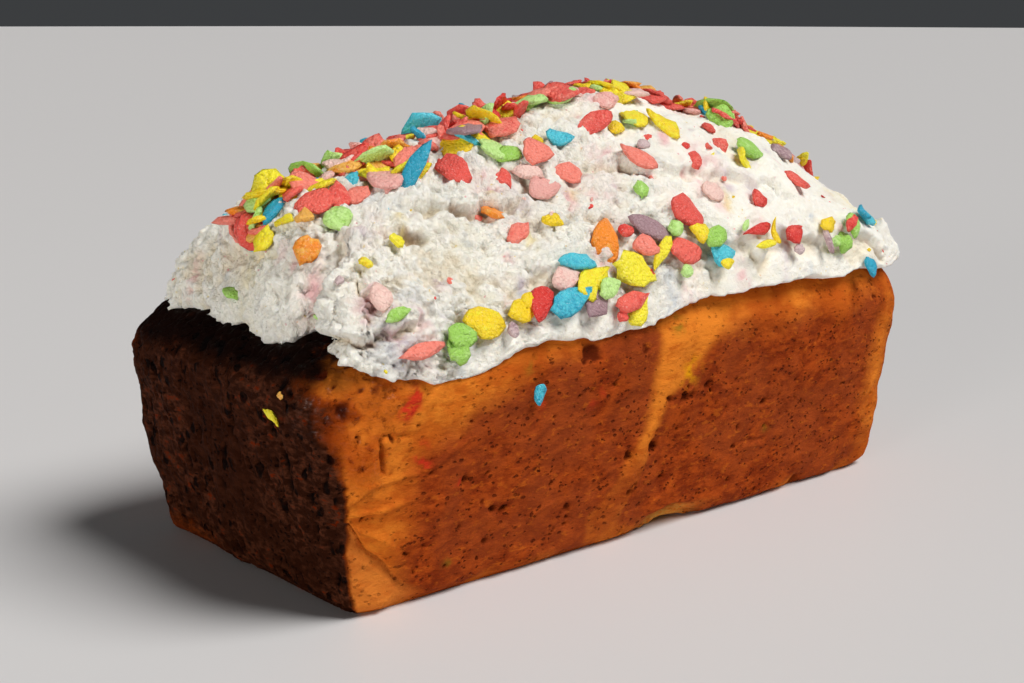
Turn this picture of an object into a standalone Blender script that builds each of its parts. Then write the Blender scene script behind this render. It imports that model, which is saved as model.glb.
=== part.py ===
"""A frosted loaf cake, topped with coloured crisp flakes.

Metres, +Z up. The origin is the middle of the base, on the table. X runs along the loaf, and the
long side that shows best faces -Y. The loaf is one solid. The frosting, with the flakes that lie
on it fused on, is another, and it sits on the loaf's domed crust with a small gap.
"""

import math

import bmesh
import bpy
import numpy as np
from mathutils import Matrix, Vector
from mathutils.bvhtree import BVHTree

MM = 0.001

# The loaf, as it comes out of its tin.
LOAF_LENGTH = 228 * MM  # at its widest line, near the tin's rim
LOAF_WIDTH = 109 * MM
BASE_LENGTH = 206 * MM
BASE_WIDTH = 93 * MM
TIN_HEIGHT = 55 * MM  # the tin shaped the walls up to here
SHOULDER_RISE = 11 * MM  # the rounded shoulder above the tin
CROWN_RISE = 19 * MM  # the gentle dome above the shoulder
BASE_EDGE = 3.5 * MM  # rounding where the wall meets the base
BASE_POWER = 26  # plan corners: nearly square at the base,
TOP_POWER = 8.5  # and wide round ones at the top

# The frosting.
FROSTING_GAP = 0.3 * MM  # kept between its underside and the crust
HEM_THICKNESS = 8 * MM  # its edge stands this high before the slope begins
HEM_OVERHANG = 0.015  # least it stands out past the crust, as a share of the half size
CREST_POINTS = (  # its ridge line: place along X, height above the table
    (-106 * MM, 86 * MM),
    (-97 * MM, 98 * MM),
    (-74 * MM, 106 * MM),
    (-38 * MM, 109 * MM),
    (0 * MM, 119 * MM),
    (26 * MM, 121 * MM),
    (60 * MM, 117 * MM),
    (88 * MM, 107 * MM),
    (103 * MM, 94 * MM),
    (116 * MM, 84 * MM),
)
SLOPE_POWER = 1.9  # how full the frosting's cross-section is

# Flakes.
FLAKE_THICKNESS = 1.7 * MM
FLAKE_SEED = 17
FLAKE_SIDES = 7
SPACING = 6.2 * MM  # between the middles of scattered flakes
PLACED_FLAKES = (  # those that show best, in mm: place along X and Y, length, width, heading
    (-57, -14, 12, 3, 75),
    (-50, -19, 10, 8, 0),
    (-77, -11, 7, 4, 15),
    (-89, -23, 8, 7, 80),
    (-90, -15, 10, 8, 20),
    (-79, -18, 9, 5, 30),
    (-98, -2, 8, 6, 60),
    (-97, -11, 9, 4, 90),
    (-42, 0, 10, 7, 10),
    (-24, -9, 14, 9, 25),
    (-9, -4, 8, 5, 0),
    (-34, -17, 8, 8, 0),
    (-25, -24, 9, 7, 100),
    (-16, -30, 6, 5, 20),
    (-81, -36, 4, 4, 0),
    (-99, -24, 7, 6, 40),
    (-93, -46, 8, 5, 80),
    (-87, -53, 11, 4, 5),
    (-76, -53, 7, 6, 30),
    (-66, -52, 10, 8, 20),
    (-13, -21, 8, 5, 160),
    (0, -20, 11, 6, 10),
    (24, -25, 13, 6, 100),
    (0, -40, 5, 4, 70),
    (11, -45, 10, 8, 30),
    (43, -45, 6, 5, 90),
    (65, -41, 9, 4, 110),
    (74, -28, 8, 7, 0),
    (26, -43, 7, 6, 60),
    (-18, -45, 11, 6, 80),
    (-4, -47, 8, 5, 170),
    (-12, -50, 12, 8, 15),
    (-33, -48, 9, 4, 20),
    (-31, -51, 8, 7, 45),
    (-21, -53, 10, 5, 160),
    (-30, -54, 8, 7, 70),
    (-40, -53, 11, 6, 15),
    (-49, -52, 10, 5, 70),
    (4, -51, 9, 7, 120),
    (19, -51, 7, 6, 0),
    (35, -51, 11, 3, 5),
    (51, -52, 8, 5, 20),
    (67, -51, 7, 4, 10),
    (79, -51, 8, 5, 80),
    (92, -47, 8, 6, 30),
)
SCATTER = (  # how many flakes lie loosely in a part of the plan, and its bounds in mm
    (52, (-97, 92), (-9, 12)),
    (14, (-80, 80), (12, 42)),
    (10, (-60, 96), (-38, -12)),
    (8, (-104, 104), (-50, 50)),
)

# Mesh steps.
LONG_STEPS = 28  # columns along each long side
SHORT_STEPS = 14  # columns along each end
TOP_RINGS = 17  # rings up the frosting
UNDER_RINGS = 5  # rings under it, shared with the crust


def clear_scene():
    for thing in list(bpy.data.objects):
        bpy.data.objects.remove(thing)


def smooth_step(value, low, high):
    """0 below low, 1 above high, and an S-curve between them."""
    t = np.clip((value - low) / (high - low), 0, 1)
    return t * t * (3 - 2 * t)


def noise(x, y, z, size, seed=0):
    """Smooth random relief from -1 to 1: hashed values at the corners of cubes of this size,
    blended by S-curves."""
    points = np.stack(np.broadcast_arrays(x, y, z), -1) / size
    cell = np.floor(points).astype(np.int64)
    part = points - cell
    part = part * part * (3 - 2 * part)
    total = 0.0
    for corner in np.ndindex(2, 2, 2):
        at = cell + corner
        code = at @ np.array((374761393, 668265263, 2147483647)) + seed * 1274126177
        code = ((code & 0xFFFFFFFF) ^ ((code & 0xFFFFFFFF) >> 13)) * 1274126177 & 0xFFFFFFFF
        value = ((code ^ (code >> 16)) & 0xFFFF) / 32767.5 - 1
        total = total + value * np.prod(np.where(corner, part, 1 - part), axis=-1)
    return total


def square_ring():
    """The columns: points (u, v) round the edge of the square from -1 to 1, anticlockwise."""
    side = np.linspace(-1, 1, SHORT_STEPS, endpoint=False)
    length = np.linspace(-1, 1, LONG_STEPS, endpoint=False)
    u = np.concatenate([np.ones_like(side), -length, -np.ones_like(side), length])
    v = np.concatenate([side, np.ones_like(length), -side, -np.ones_like(length)])
    return u, v


def rounded(u, v, power):
    """The square's points pulled in so that |u|^power + |v|^power stays constant round a ring."""
    pull = np.maximum(abs(u), abs(v)) / (abs(u) ** power + abs(v) ** power) ** (1 / power)
    return u * pull, v * pull


def crust_height(x, y):
    """Height of the top crust: a shoulder that turns over quickly, and a gentle dome on it."""
    along = abs(x) / (LOAF_LENGTH / 2)
    across = abs(y) / (LOAF_WIDTH / 2)
    out = np.minimum((along**TOP_POWER + across**TOP_POWER) ** (1 / TOP_POWER), 1)
    return TIN_HEIGHT + SHOULDER_RISE * np.sqrt(1 - out**8) + CROWN_RISE * (1 - out**2)


def crust_reach(height):
    """How far out, as a share of the loaf's half size, the crust has this height."""
    share = np.linspace(1, 0, 200)
    heights = crust_height(share * LOAF_LENGTH / 2, 0 * share)
    return np.interp(height, heights, share)


def wall_relief(x, y, z):
    """How far the baked wall stands out of its plain form, from the tin's lining and the baking."""
    bow = 0.9 * MM * noise(x, y, z, 38 * MM, 1) + 0.5 * MM * noise(x, y, z, 13 * MM, 2)
    front = smooth_step(-y, 36 * MM, 42 * MM)
    end = smooth_step(-x, 96 * MM, 101 * MM)
    fold_line = x - (-13 * MM + 0.51 * z)
    fold = 1.0 * MM * np.exp(-((fold_line / (5 * MM)) ** 2)) * smooth_step(z, 4 * MM, 15 * MM)
    chip_at = np.exp(-(((x - 3 * MM) / (13 * MM)) ** 2)) * (1 - smooth_step(z, 2 * MM, 7 * MM))
    nick_at = np.exp(-(((x - 62 * MM) / (4 * MM)) ** 2)) * (1 - smooth_step(z, 1 * MM, 5 * MM))
    pinch = np.exp(-(((z - 16 * MM) / (5 * MM)) ** 2)) * smooth_step(y, 30 * MM, 40 * MM)
    return bow + front * (fold - 3.5 * MM * chip_at - 2.5 * MM * nick_at) - 0.8 * MM * end * pinch


def skin(name, rings, colour, roughness):
    """A closed solid from rings of equal count, the first and last of them closed by a fan."""
    mesh = bmesh.new()
    loops = [[mesh.verts.new(point) for point in ring] for ring in rings]
    for low, high in zip(loops, loops[1:]):
        for i in range(len(low)):
            j = (i + 1) % len(low)
            mesh.faces.new((low[i], low[j], high[j], high[i]))
    for loop, turned in ((loops[0], True), (loops[-1], False)):
        pole = mesh.verts.new(sum((corner.co for corner in loop), Vector()) / len(loop))
        for i in range(len(loop)):
            pair = (loop[i], loop[(i + 1) % len(loop)])
            mesh.faces.new((*(reversed(pair) if turned else pair), pole))
    bmesh.ops.triangulate(mesh, faces=mesh.faces[:])
    return finish_object(name, mesh, colour, roughness)


def finish_object(name, mesh, colour, roughness):
    """The bmesh as a named object with its own material."""
    bmesh.ops.recalc_face_normals(mesh, faces=mesh.faces[:])
    data = bpy.data.meshes.new(name)
    mesh.to_mesh(data)
    mesh.free()
    material = bpy.data.materials.new(name)
    material.use_nodes = True
    shader = material.node_tree.nodes["Principled BSDF"]
    shader.inputs["Base Color"].default_value = (*colour, 1)
    shader.inputs["Roughness"].default_value = roughness
    shader.inputs["Metallic"].default_value = 0
    data.materials.append(material)
    data.shade_smooth()
    data.set_sharp_from_angle(angle=math.radians(50))
    thing = bpy.data.objects.new(name, data)
    bpy.context.scene.collection.objects.link(thing)
    return thing


def loaf_rings(u, v):
    """The loaf's rings from the base's middle, up the walls and over the crust. The last ones
    follow the frosting's edge inwards, so that its underside can match them."""
    rings = [wall_ring(u, v, z) for z in wall_heights()]
    hem_share = crust_reach(hem_height(u, v))
    for share in np.linspace(1, 0, 4)[1:-1]:
        rings.append(crust_ring(u, v, hem_share + (1 - hem_share) * share))
    rings += [crust_ring(u, v, hem_share * share) for share in under_shares()]
    return rings


def wall_heights():
    """Heights of the wall's rings: close together round the base's edge, then even."""
    edge = [BASE_EDGE * share for share in (0, 0.08, 0.3, 1)]
    return edge + list(np.linspace(BASE_EDGE, TIN_HEIGHT, 9)[1:])


def wall_ring(u, v, z):
    """One ring of the wall. The tin flares upwards, and the base's edge is a quarter circle."""
    flare = (z / TIN_HEIGHT) ** 0.8
    tuck = BASE_EDGE * (1 - math.sqrt(1 - (1 - min(z / BASE_EDGE, 1)) ** 2))
    half_x = BASE_LENGTH / 2 + flare * (LOAF_LENGTH - BASE_LENGTH) / 2 - tuck
    half_y = BASE_WIDTH / 2 + flare * (LOAF_WIDTH - BASE_WIDTH) / 2 - tuck
    x, y = rounded(u, v, BASE_POWER + (TOP_POWER - BASE_POWER) * flare)
    x, y = x * half_x, y * half_y
    lift = wall_relief(x, y, z) * (1 - smooth_step(z, 40 * MM, TIN_HEIGHT))
    out_x, out_y = outward(u, v)
    return np.stack([x + out_x * lift, y + out_y * lift, np.full_like(x, z)], -1)


def outward(u, v):
    """Horizontal direction that leads out of the loaf: across a side, and diagonal at a corner."""
    side_x, side_y = np.sign(u) * abs(u) ** 16, np.sign(v) * abs(v) ** 16
    size = np.hypot(side_x, side_y)
    return side_x / size, side_y / size


def crust_ring(u, v, share):
    x, y = rounded(u, v, TOP_POWER)
    x, y = x * LOAF_LENGTH / 2 * share, y * LOAF_WIDTH / 2 * share
    return np.stack([x, y, crust_height(x, y)], -1)


def under_shares():
    """Rings of crust under the frosting, from its hem to near the middle."""
    return np.linspace(1, 0.16, UNDER_RINGS)


def side_mix(u, v, front, right, back, left):
    """A value of its own for each side of the loaf, blended round the corners."""
    weights = [np.clip(w, 0, 1) ** 8 for w in (-v, u, v, -u)]
    return sum(w * value for w, value in zip(weights, (front, right, back, left))) / sum(weights)


def hem_height(u, v):
    """Height of the frosting's lowest edge. It hangs lowest in a lobe near the front left corner."""
    lobe = np.exp(-(((u + 0.74) / 0.2) ** 4))
    front = 63 * MM + 5 * MM * smooth_step(u, -0.15, 0.15) - 5 * MM * lobe
    hem = side_mix(u, v, front, 68 * MM, 64 * MM, 67 * MM)
    return hem + 0.9 * MM * noise(u, v, 0, 0.13, 3)


def hem_reach(u, v):
    """Where the frosting ends, as a share of the loaf's half size. Over 1 it hangs over the side,
    and everywhere its edge stands out past the line where it meets the crust."""
    reach = side_mix(u, v, 1.02, 1.03, 1.0, 0.89)
    reach = reach + 0.012 * noise(u, v, 0, 0.17, 4) + 0.008 * noise(u, v, 0, 0.08, 5)
    return np.maximum(reach, crust_reach(hem_height(u, v)) + HEM_OVERHANG)


def unit_direction(x, y):
    """The column (u, v) on the square's edge on which a plan point lies, and its share of the way."""
    u, v = x / (LOAF_LENGTH / 2), y / (LOAF_WIDTH / 2)
    reach = np.maximum(np.maximum(abs(u), abs(v)), 1e-9)
    share = (abs(u) ** TOP_POWER + abs(v) ** TOP_POWER) ** (1 / TOP_POWER)
    return u / reach, v / reach, share


def crest_height(x):
    """The ridge line, with its corners smoothed over a few millimetres."""
    along, heights = zip(*CREST_POINTS)
    offsets = np.linspace(-7 * MM, 7 * MM, 7)
    return sum(np.interp(x + offset, along, heights) for offset in offsets) / len(offsets)


def frosting_height(x, y):
    """Top of the frosting: from the ridge down to a thick hem, with soft lumps and spread marks."""
    u, v, share = unit_direction(x, y)
    hem = hem_height(u, v)
    across = np.clip(abs(y) / (LOAF_WIDTH / 2 * 1.03), 0, 1)
    body = hem + HEM_THICKNESS + (crest_height(x) - hem - HEM_THICKNESS) * (1 - across**SLOPE_POWER)
    body = body + frosting_relief(x, y)
    out = np.clip(share / hem_reach(u, v), 0, 1)
    return hem + (body - hem) * np.sqrt(1 - out**22)


def frosting_relief(x, y):
    """Lumps left by the spatula, in three sizes, and the step under the thick upper layer."""
    lumps = 2.2 * MM * noise(x, y, 0, 27 * MM, 6) + 1.3 * MM * noise(x, y, 0, 12 * MM, 7)
    line = y - (-19 * MM + 7 * MM * np.sin(x / (17 * MM)))
    step = 2.4 * MM * smooth_step(line, -1 * MM, 1.5 * MM) * np.exp(-np.maximum(line, 0) / (16 * MM))
    return lumps + step * np.exp(-(((x + 18 * MM) / (38 * MM)) ** 2))


def frosting_rings(u, v):
    """The frosting's rings: up from the middle of its underside, round the hem, and over the top."""
    hem_share = crust_reach(hem_height(u, v))
    under = [crust_ring(u, v, hem_share * share) for share in reversed(under_shares())]
    for ring in under:
        ring[:, 2] += FROSTING_GAP
        ring[:, :2] *= 1 + FROSTING_GAP / (LOAF_WIDTH / 2)
    top = []
    for out in reversed(1 - np.linspace(0, 1, TOP_RINGS + 1)[:-1] ** 1.6):
        x, y = rounded(u, v, TOP_POWER)
        share = hem_reach(u, v) * out
        x, y = x * LOAF_LENGTH / 2 * share, y * LOAF_WIDTH / 2 * share
        top.append(np.stack([x, y, frosting_height(x, y)], -1))
    return under + top[::-1]


def surface_frame(x, y):
    """The point of the frosting over a plan point, and three directions there: heading along X,
    across, and straight out."""
    step = 1.5 * MM
    height = float(frosting_height(x, y))
    slope_x = (float(frosting_height(x + step, y)) - float(frosting_height(x - step, y))) / (2 * step)
    slope_y = (float(frosting_height(x, y + step)) - float(frosting_height(x, y - step))) / (2 * step)
    out = Vector((-slope_x, -slope_y, 1)).normalized()
    along = Vector((1, 0, slope_x)).normalized()
    return Vector((x, y, height)), along, out.cross(along), out


def flake_plan():
    """Each flake's place, length, width, heading, lean and lift: first the placed ones, then the
    scattered ones, which keep their distance from all that lie there already."""
    draw = np.random.default_rng(FLAKE_SEED)
    for x, y, length, width, heading in PLACED_FLAKES:
        yield (x * MM, y * MM, length * MM, width * MM, math.radians(heading), *pose(draw))
    taken = [(x * MM, y * MM) for x, y, *_ in PLACED_FLAKES]
    for count, span_x, span_y in SCATTER:
        for _ in range(count):
            for _ in range(30):
                x, y = draw.uniform(*span_x) * MM, draw.uniform(*span_y) * MM
                if all(math.hypot(x - a, y - b) > SPACING for a, b in taken):
                    break
            taken.append((x, y))
            length = draw.uniform(7.5 * MM, 12 * MM)
            width = length * draw.uniform(0.45, 0.95)
            yield (x, y, length, width, draw.uniform(0, math.tau), *pose(draw))


def pose(draw):
    """How far a flake leans, and how far its middle is lifted off the frosting."""
    return draw.normal(0, 0.22), draw.uniform(0.2, 1.3) * MM


def flake_solid(name, place, length, width, draw):
    """A crisp flake: a thin disc of few sides, uneven at the rim and bent along its length."""
    mesh = bmesh.new()
    bmesh.ops.create_uvsphere(mesh, u_segments=FLAKE_SIDES, v_segments=3, radius=1)
    bend = draw.uniform(-0.25, 0.25)
    for corner in mesh.verts:
        spread = 1.12 * (1 + 0.13 * draw.normal())
        x, y = corner.co.x * spread, corner.co.y * spread
        z = corner.co.z * FLAKE_THICKNESS / 2
        corner.co = (x * length / 2, y * width / 2, z + bend * x * x * length / 2)
    mesh.transform(place)
    return finish_object(name, mesh, (0.8, 0.2, 0.1), 0.6)


def standing_place(base, along, across, out, heading, lean, lift):
    """The matrix that lays a flake on a surface, turned by its heading and leaning a little."""
    rotation = Matrix((along, across, out)).transposed().to_4x4()
    turn = Matrix.Rotation(heading, 4, "Z") @ Matrix.Rotation(lean, 4, "Y")
    return Matrix.Translation(base + out * lift) @ rotation @ turn


def clear_of(tree, flake, gap):
    """True if every corner of the flake is outside the solid in the tree by this gap."""
    for corner in flake.data.vertices:
        spot, normal, _, _ = tree.find_nearest(corner.co)
        if (corner.co - spot).dot(normal) < gap:
            return False
    return True


def fuse(body, pieces):
    """Joins the pieces to the body for good. Where the joint doesn't close, because two facets meet
    edge to edge, the nearest piece is left out and the rest are joined again."""
    group = bpy.data.collections.new(body.name + "_flakes")
    bpy.context.scene.collection.children.link(group)
    for piece in pieces:
        bpy.context.scene.collection.objects.unlink(piece)
        group.objects.link(piece)
    union = body.modifiers.new("fuse", "BOOLEAN")
    union.operation = "UNION"
    union.operand_type = "COLLECTION"
    union.collection = group
    while True:
        fused = bmesh.new()
        fused.from_object(body, bpy.context.evaluated_depsgraph_get())
        keep_outer_shell(fused)
        faults = [side for side in fused.edges if len(side.link_faces) != 2]
        if not faults:
            break
        for fault in faults:
            spot = fault.verts[0].co
            nearest = min(group.objects, key=lambda piece: distance_to(piece, spot))
            bpy.data.objects.remove(nearest)
        fused.free()
    body.modifiers.clear()
    fused.to_mesh(body.data)
    fused.free()
    for piece in list(group.objects):
        bpy.data.objects.remove(piece)
    bpy.data.collections.remove(group)


def distance_to(piece, spot):
    return min((corner.co - spot).length for corner in piece.data.vertices)


def keep_outer_shell(mesh):
    """Removes the sealed pockets and loose scraps that fusing leaves, all but the largest shell."""
    bmesh.ops.triangulate(mesh, faces=mesh.faces[:])
    left, shells = set(mesh.faces), []
    while left:
        shell = []
        front = [left.pop()]
        while front:
            face = front.pop()
            shell.append(face)
            near = {other for side in face.edges for other in side.link_faces} & left
            left -= near
            front += near
        shells.append(shell)
    largest = max(shells, key=len)
    scraps = [face for shell in shells if shell is not largest for face in shell]
    bmesh.ops.delete(mesh, geom=scraps, context="FACES")


def top_flakes(loaf):
    """The frosting's flakes, without those that would come too close to the loaf."""
    tree = BVHTree.FromObject(loaf, bpy.context.evaluated_depsgraph_get())
    draw = np.random.default_rng(FLAKE_SEED + 1)
    flakes = []
    for number, (x, y, length, width, heading, lean, lift) in enumerate(flake_plan()):
        place = standing_place(*surface_frame(x, y), heading, lean, lift)
        flake = flake_solid(f"flake_{number}", place, length, width, draw)
        if clear_of(tree, flake, 2 * FROSTING_GAP):
            flakes.append(flake)
        else:
            bpy.data.objects.remove(flake)
    return flakes


def on_wall(u, v, z):
    """The wall's point in one column at this height."""
    return Vector(wall_ring(np.array([u]), np.array([v]), z)[0])


def side_flakes():
    """The two small flakes that stick to the walls, one on the front and one on the dark end."""
    draw = np.random.default_rng(FLAKE_SEED + 2)
    front, end = on_wall(-0.44, -1.0, 50 * MM), on_wall(-1.0, -0.54, 50 * MM)
    up, forward, left = Vector((0, 0, 1)), Vector((0, -1, 0)), Vector((-1, 0, 0))
    sizes = ((front, forward, 5.5 * MM, 3 * MM, 1.3), (end, left, 7.3 * MM, 2.3 * MM, -0.45))
    made = []
    for number, (spot, out, length, width, heading) in enumerate(sizes):
        along = up.cross(out)
        place = standing_place(spot, along, out.cross(along), out, heading, 0, 0.2 * MM)
        made.append(flake_solid(f"side_flake_{number}", place, length, width, draw))
    return made


def main():
    clear_scene()
    u, v = square_ring()
    loaf = skin("loaf", loaf_rings(u, v), (0.46, 0.16, 0.035), 0.55)
    frosting = skin("frosting", frosting_rings(u, v), (0.86, 0.83, 0.75), 0.6)
    fuse(frosting, top_flakes(loaf))
    fuse(loaf, side_flakes())


main()
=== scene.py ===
# %% [markdown]
# # A frosted loaf cake with crisp flakes
# The loaf's solid parts come in as a fixed frame. The first cell loads it and keeps its box, so
# that everything made below can be held against the size it has to fit.

import math

import bpy
import numpy as np
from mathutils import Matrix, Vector


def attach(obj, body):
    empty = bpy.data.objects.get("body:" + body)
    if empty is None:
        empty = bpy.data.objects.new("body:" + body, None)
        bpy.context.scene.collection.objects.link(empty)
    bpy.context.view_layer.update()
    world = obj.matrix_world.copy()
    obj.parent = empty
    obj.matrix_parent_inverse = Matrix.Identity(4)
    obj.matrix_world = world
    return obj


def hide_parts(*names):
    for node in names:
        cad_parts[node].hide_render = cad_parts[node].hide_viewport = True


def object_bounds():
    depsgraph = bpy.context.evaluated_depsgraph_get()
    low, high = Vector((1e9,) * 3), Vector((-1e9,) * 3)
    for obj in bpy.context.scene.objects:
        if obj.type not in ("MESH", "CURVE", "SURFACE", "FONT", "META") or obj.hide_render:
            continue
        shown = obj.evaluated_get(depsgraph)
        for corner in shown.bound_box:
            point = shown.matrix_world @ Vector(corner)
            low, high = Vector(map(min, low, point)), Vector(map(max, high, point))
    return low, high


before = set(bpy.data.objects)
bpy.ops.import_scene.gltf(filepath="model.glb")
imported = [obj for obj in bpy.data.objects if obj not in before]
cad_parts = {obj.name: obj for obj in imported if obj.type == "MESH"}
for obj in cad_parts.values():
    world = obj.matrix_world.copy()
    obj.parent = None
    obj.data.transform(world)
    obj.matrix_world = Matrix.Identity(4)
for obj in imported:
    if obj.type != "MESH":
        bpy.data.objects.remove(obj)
CAD_BOX = [list(corner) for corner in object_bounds()]
print("the solid parts reach from", CAD_BOX[0], "to", CAD_BOX[1])

# %% [markdown]
# ## One set of random bumps for everything
# Batter, frosting and flakes are all uneven, at many scales. Blender's own noise lives in shaders
# and modifiers. Here the noise is worked out in numpy instead, so the same bumps can move the
# mesh, mark the colours and tell each flake where the surface is. All sizes below are in mm. The
# last number given to a kind of bump is its seed: with a seed of its own, no bump repeats another.

# %% Smooth and layered noise
CELL_KEYS, MIXER = np.array((374761393, 668265263, 2147483647)), 1274126177
FADE = 0.55  # strength of each layer of noise, as a share of the last


def hashed(cells, seed):
    """A random value from -1 to 1 for each whole-numbered cell: its numbers are mixed by large
    factors and the bits folded over each other."""
    code = (cells @ CELL_KEYS + seed * MIXER) & 0xFFFFFFFF
    code = (code ^ (code >> 13)) * MIXER & 0xFFFFFFFF
    return ((code ^ (code >> 16)) & 0xFFFF) / 32767.5 - 1


def noise(x, y, z, size, seed=0):
    """Values from -1 to 1: hashed values at the corners of cubes of this size, blended between
    the corners by S-curves."""
    points = np.stack(np.broadcast_arrays(x, y, z), -1) / size
    cells = np.floor(points).astype(np.int64)
    part = points - cells
    part = part * part * (3 - 2 * part)
    total = 0.0
    for corner in np.ndindex(2, 2, 2):
        value = hashed(cells + corner, seed)
        total = total + value * np.prod(np.where(corner, part, 1 - part), axis=-1)
    return total


def layered(points, size, layers, seed=0, stretch=(1, 1, 1)):
    """Several noises on top of each other, each half as large as the last and FADE times as
    strong."""
    x, y, z = np.moveaxis(points / np.array(stretch), -1, 0)
    total = sum(FADE**i * noise(x, y, z, size / 2**i, seed + i) for i in range(layers))
    return total / sum(FADE**i for i in range(layers))


def stirred(points, size, amount, seed):
    """The points, each pushed aside by noise along all three axes. It makes patterns ragged."""
    x, y, z = np.moveaxis(points, -1, 0)
    return points + amount * np.stack([noise(x, y, z, size, seed + axis) for axis in range(3)], -1)


# %% [markdown]
# ## Pores and grains
# Baked crust has burst bubbles, and torn frosting has round crumbs. Both are rounds scattered
# without order. Space is cut into cubes with one random spot in each, as in a Voronoi texture, so
# the spot nearest to a point is always in one of the 27 cubes round it.

# %% Pores and grains


def spots_near(points, size, seed):
    """Each cube of this size holds one random spot. For the cube of each point and then its 26
    neighbours, this gives the cube's number and how far away its spot is."""
    cells = np.floor(points / size).astype(np.int64)
    for step in np.ndindex(3, 3, 3):
        near = cells + step - 1
        spot = np.stack([0.5 + 0.45 * hashed(near, seed + axis) for axis in range(3)], -1)
        yield near, np.linalg.norm((near + spot) * size - points, axis=-1)


def pores(points, size, seed, radius=(0.12, 0.34), share=1.0):
    """0 on plain surface and up to 1 inside a pore. A share of the spots are pores, each of a
    random radius, as a part of the cube's size."""
    deepest = np.zeros(points.shape[:-1])
    for near, away in spots_near(points, size, seed):
        reach = size * (radius[0] + (radius[1] - radius[0]) * (0.5 + 0.5 * hashed(near, seed + 7)))
        there = hashed(near, seed + 9) < 2 * share - 1
        deepest = np.maximum(deepest, np.where(there, 1 - (away / reach) ** 2, 0))
    return deepest


def grains(points, size, seed):
    """Round grains packed side by side: 1 in the middle of a grain, falling with the square of
    the distance to under 0 in the seams between grains."""
    nearest = np.full(points.shape[:-1], 9.0 * size)
    for _, away in spots_near(points, size, seed):
        nearest = np.minimum(nearest, away)
    return 1 - (nearest / (0.65 * size)) ** 2


# %% [markdown]
# ## Soft borders
# Nothing on a cake starts or ends sharply. Most shapes and colours below are put together from
# an S-shaped step, a bell, and a bell along a line. A product of steps is a patch, and a patch
# whose place is shifted by noise has a ragged border.

# %% Steps, bells and spots


def smooth_step(value, low, high):
    """0 below low, 1 above high, and an S-curve between them."""
    t = np.clip((value - low) / (high - low), 0, 1)
    return t * t * (3 - 2 * t)


def hump(value, middle, spread):
    """A bell: 1 at the middle, and close to 0 two spreads away."""
    return np.exp(-(((value - middle) / spread) ** 2))


def line_hump(a, b, start_a, start_b, end_a, end_b, width):
    """A soft ridge along a straight line in a plane: 1 on the line, by distance from it."""
    length = math.hypot(end_a - start_a, end_b - start_b)
    along_a, along_b = (end_a - start_a) / length, (end_b - start_b) / length
    share = np.clip((a - start_a) * along_a + (b - start_b) * along_b, 0, length)
    away = np.hypot(a - start_a - share * along_a, b - start_b - share * along_b)
    return hump(away, 0, width)


def spots(a, b, rows):
    """Soft coloured spots in a plane: each row has a place, a radius, a strength and a colour.
    Gives the mean colour at each point and how strong it is."""
    strength, tint = np.zeros(a.shape), np.zeros((*a.shape, 3))
    for spot_a, spot_b, radius, weight, colour in rows:
        bell = weight * np.exp(-(((a - spot_a) ** 2 + (b - spot_b) ** 2) / radius**2))
        strength += bell
        tint += bell[..., None] * np.array(colour)
    return tint / np.maximum(strength, 1e-6)[..., None], strength


# %% [markdown]
# ## From grids to meshes
# Every surface here is a grid: rows of points, worked out as whole arrays. A ring closes on
# itself, so its last column joins its first. These helpers give a grid's quads, turn lists of
# polygons into a mesh, and store values for the materials with each point.

# %% Mesh helpers
MM = 0.001


def grid_faces(rows, columns, ring):
    """Index quads of a grid, row by row. In a ring the last column joins the first."""
    index = np.arange(rows * columns).reshape(rows, columns)
    right = np.roll(index, -1, 1) if ring else index[:, 1:]
    left = index if ring else index[:, :-1]
    quads = np.stack([left[:-1], right[:-1], right[1:], left[1:]], -1)
    return quads.reshape(-1, 4)


def make_piece(name, points, polygons, marks, node):
    """A mesh from points in mm and lists of polygon corners, riding on the frame."""
    mesh = bpy.data.meshes.new(name)
    corners = np.concatenate([part.reshape(-1) for part in polygons])
    sizes = np.concatenate([np.full(len(part), part.shape[1]) for part in polygons])
    mesh.vertices.add(len(points))
    mesh.vertices.foreach_set("co", (points * MM).astype(np.float32).ravel())
    mesh.loops.add(len(corners))
    mesh.loops.foreach_set("vertex_index", corners.astype(np.int32))
    mesh.polygons.add(len(sizes))
    starts = np.concatenate([[0], np.cumsum(sizes)[:-1]])
    mesh.polygons.foreach_set("loop_start", starts.astype(np.int32))
    mesh.update(calc_edges=True)
    mesh.shade_smooth()
    for mark, values in marks.items():
        kind, field = ("FLOAT_COLOR", "color") if values.ndim == 2 else ("FLOAT", "value")
        layer = mesh.attributes.new(mark, kind, "POINT")
        layer.data.foreach_set(field, values.astype(np.float32).ravel())
    piece = bpy.data.objects.new(name, mesh)
    bpy.context.scene.collection.objects.link(piece)
    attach(piece, "root")
    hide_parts(node)
    triangles = int((sizes - 2).sum())
    print(f"{name}: {len(points)} points, {triangles} triangles")
    return piece


def normals_of(grid, ring):
    """Outward unit normals of a grid of points, from the slopes along its rows and columns."""
    if ring:
        along = np.roll(grid, -1, 1) - np.roll(grid, 1, 1)
    else:
        along = np.gradient(grid, axis=1)
    up = np.gradient(grid, axis=0)
    out = np.cross(along, up)
    return out / np.maximum(np.linalg.norm(out, axis=-1, keepdims=True), 1e-9)


# %% [markdown]
# ## The loaf's plain form
# A loaf takes its shape from its tin: a flared box with rounded corners, whose dough then rises
# over the rim into a shoulder and a low dome. The plan of every level is a superellipse, a curve
# between an ellipse and a rectangle, which is pulled out of a square by one formula.

# %% Loaf measures and the dome
LOAF = (228.0, 109.0)  # length and width at the widest line
BASE = (206.0, 93.0)
TIN_HEIGHT = 55.0
SHOULDER_RISE = 11.0
CROWN_RISE = 19.0
BASE_EDGE = 3.5
BASE_POWER = 26.0
TOP_POWER = 8.5


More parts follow.
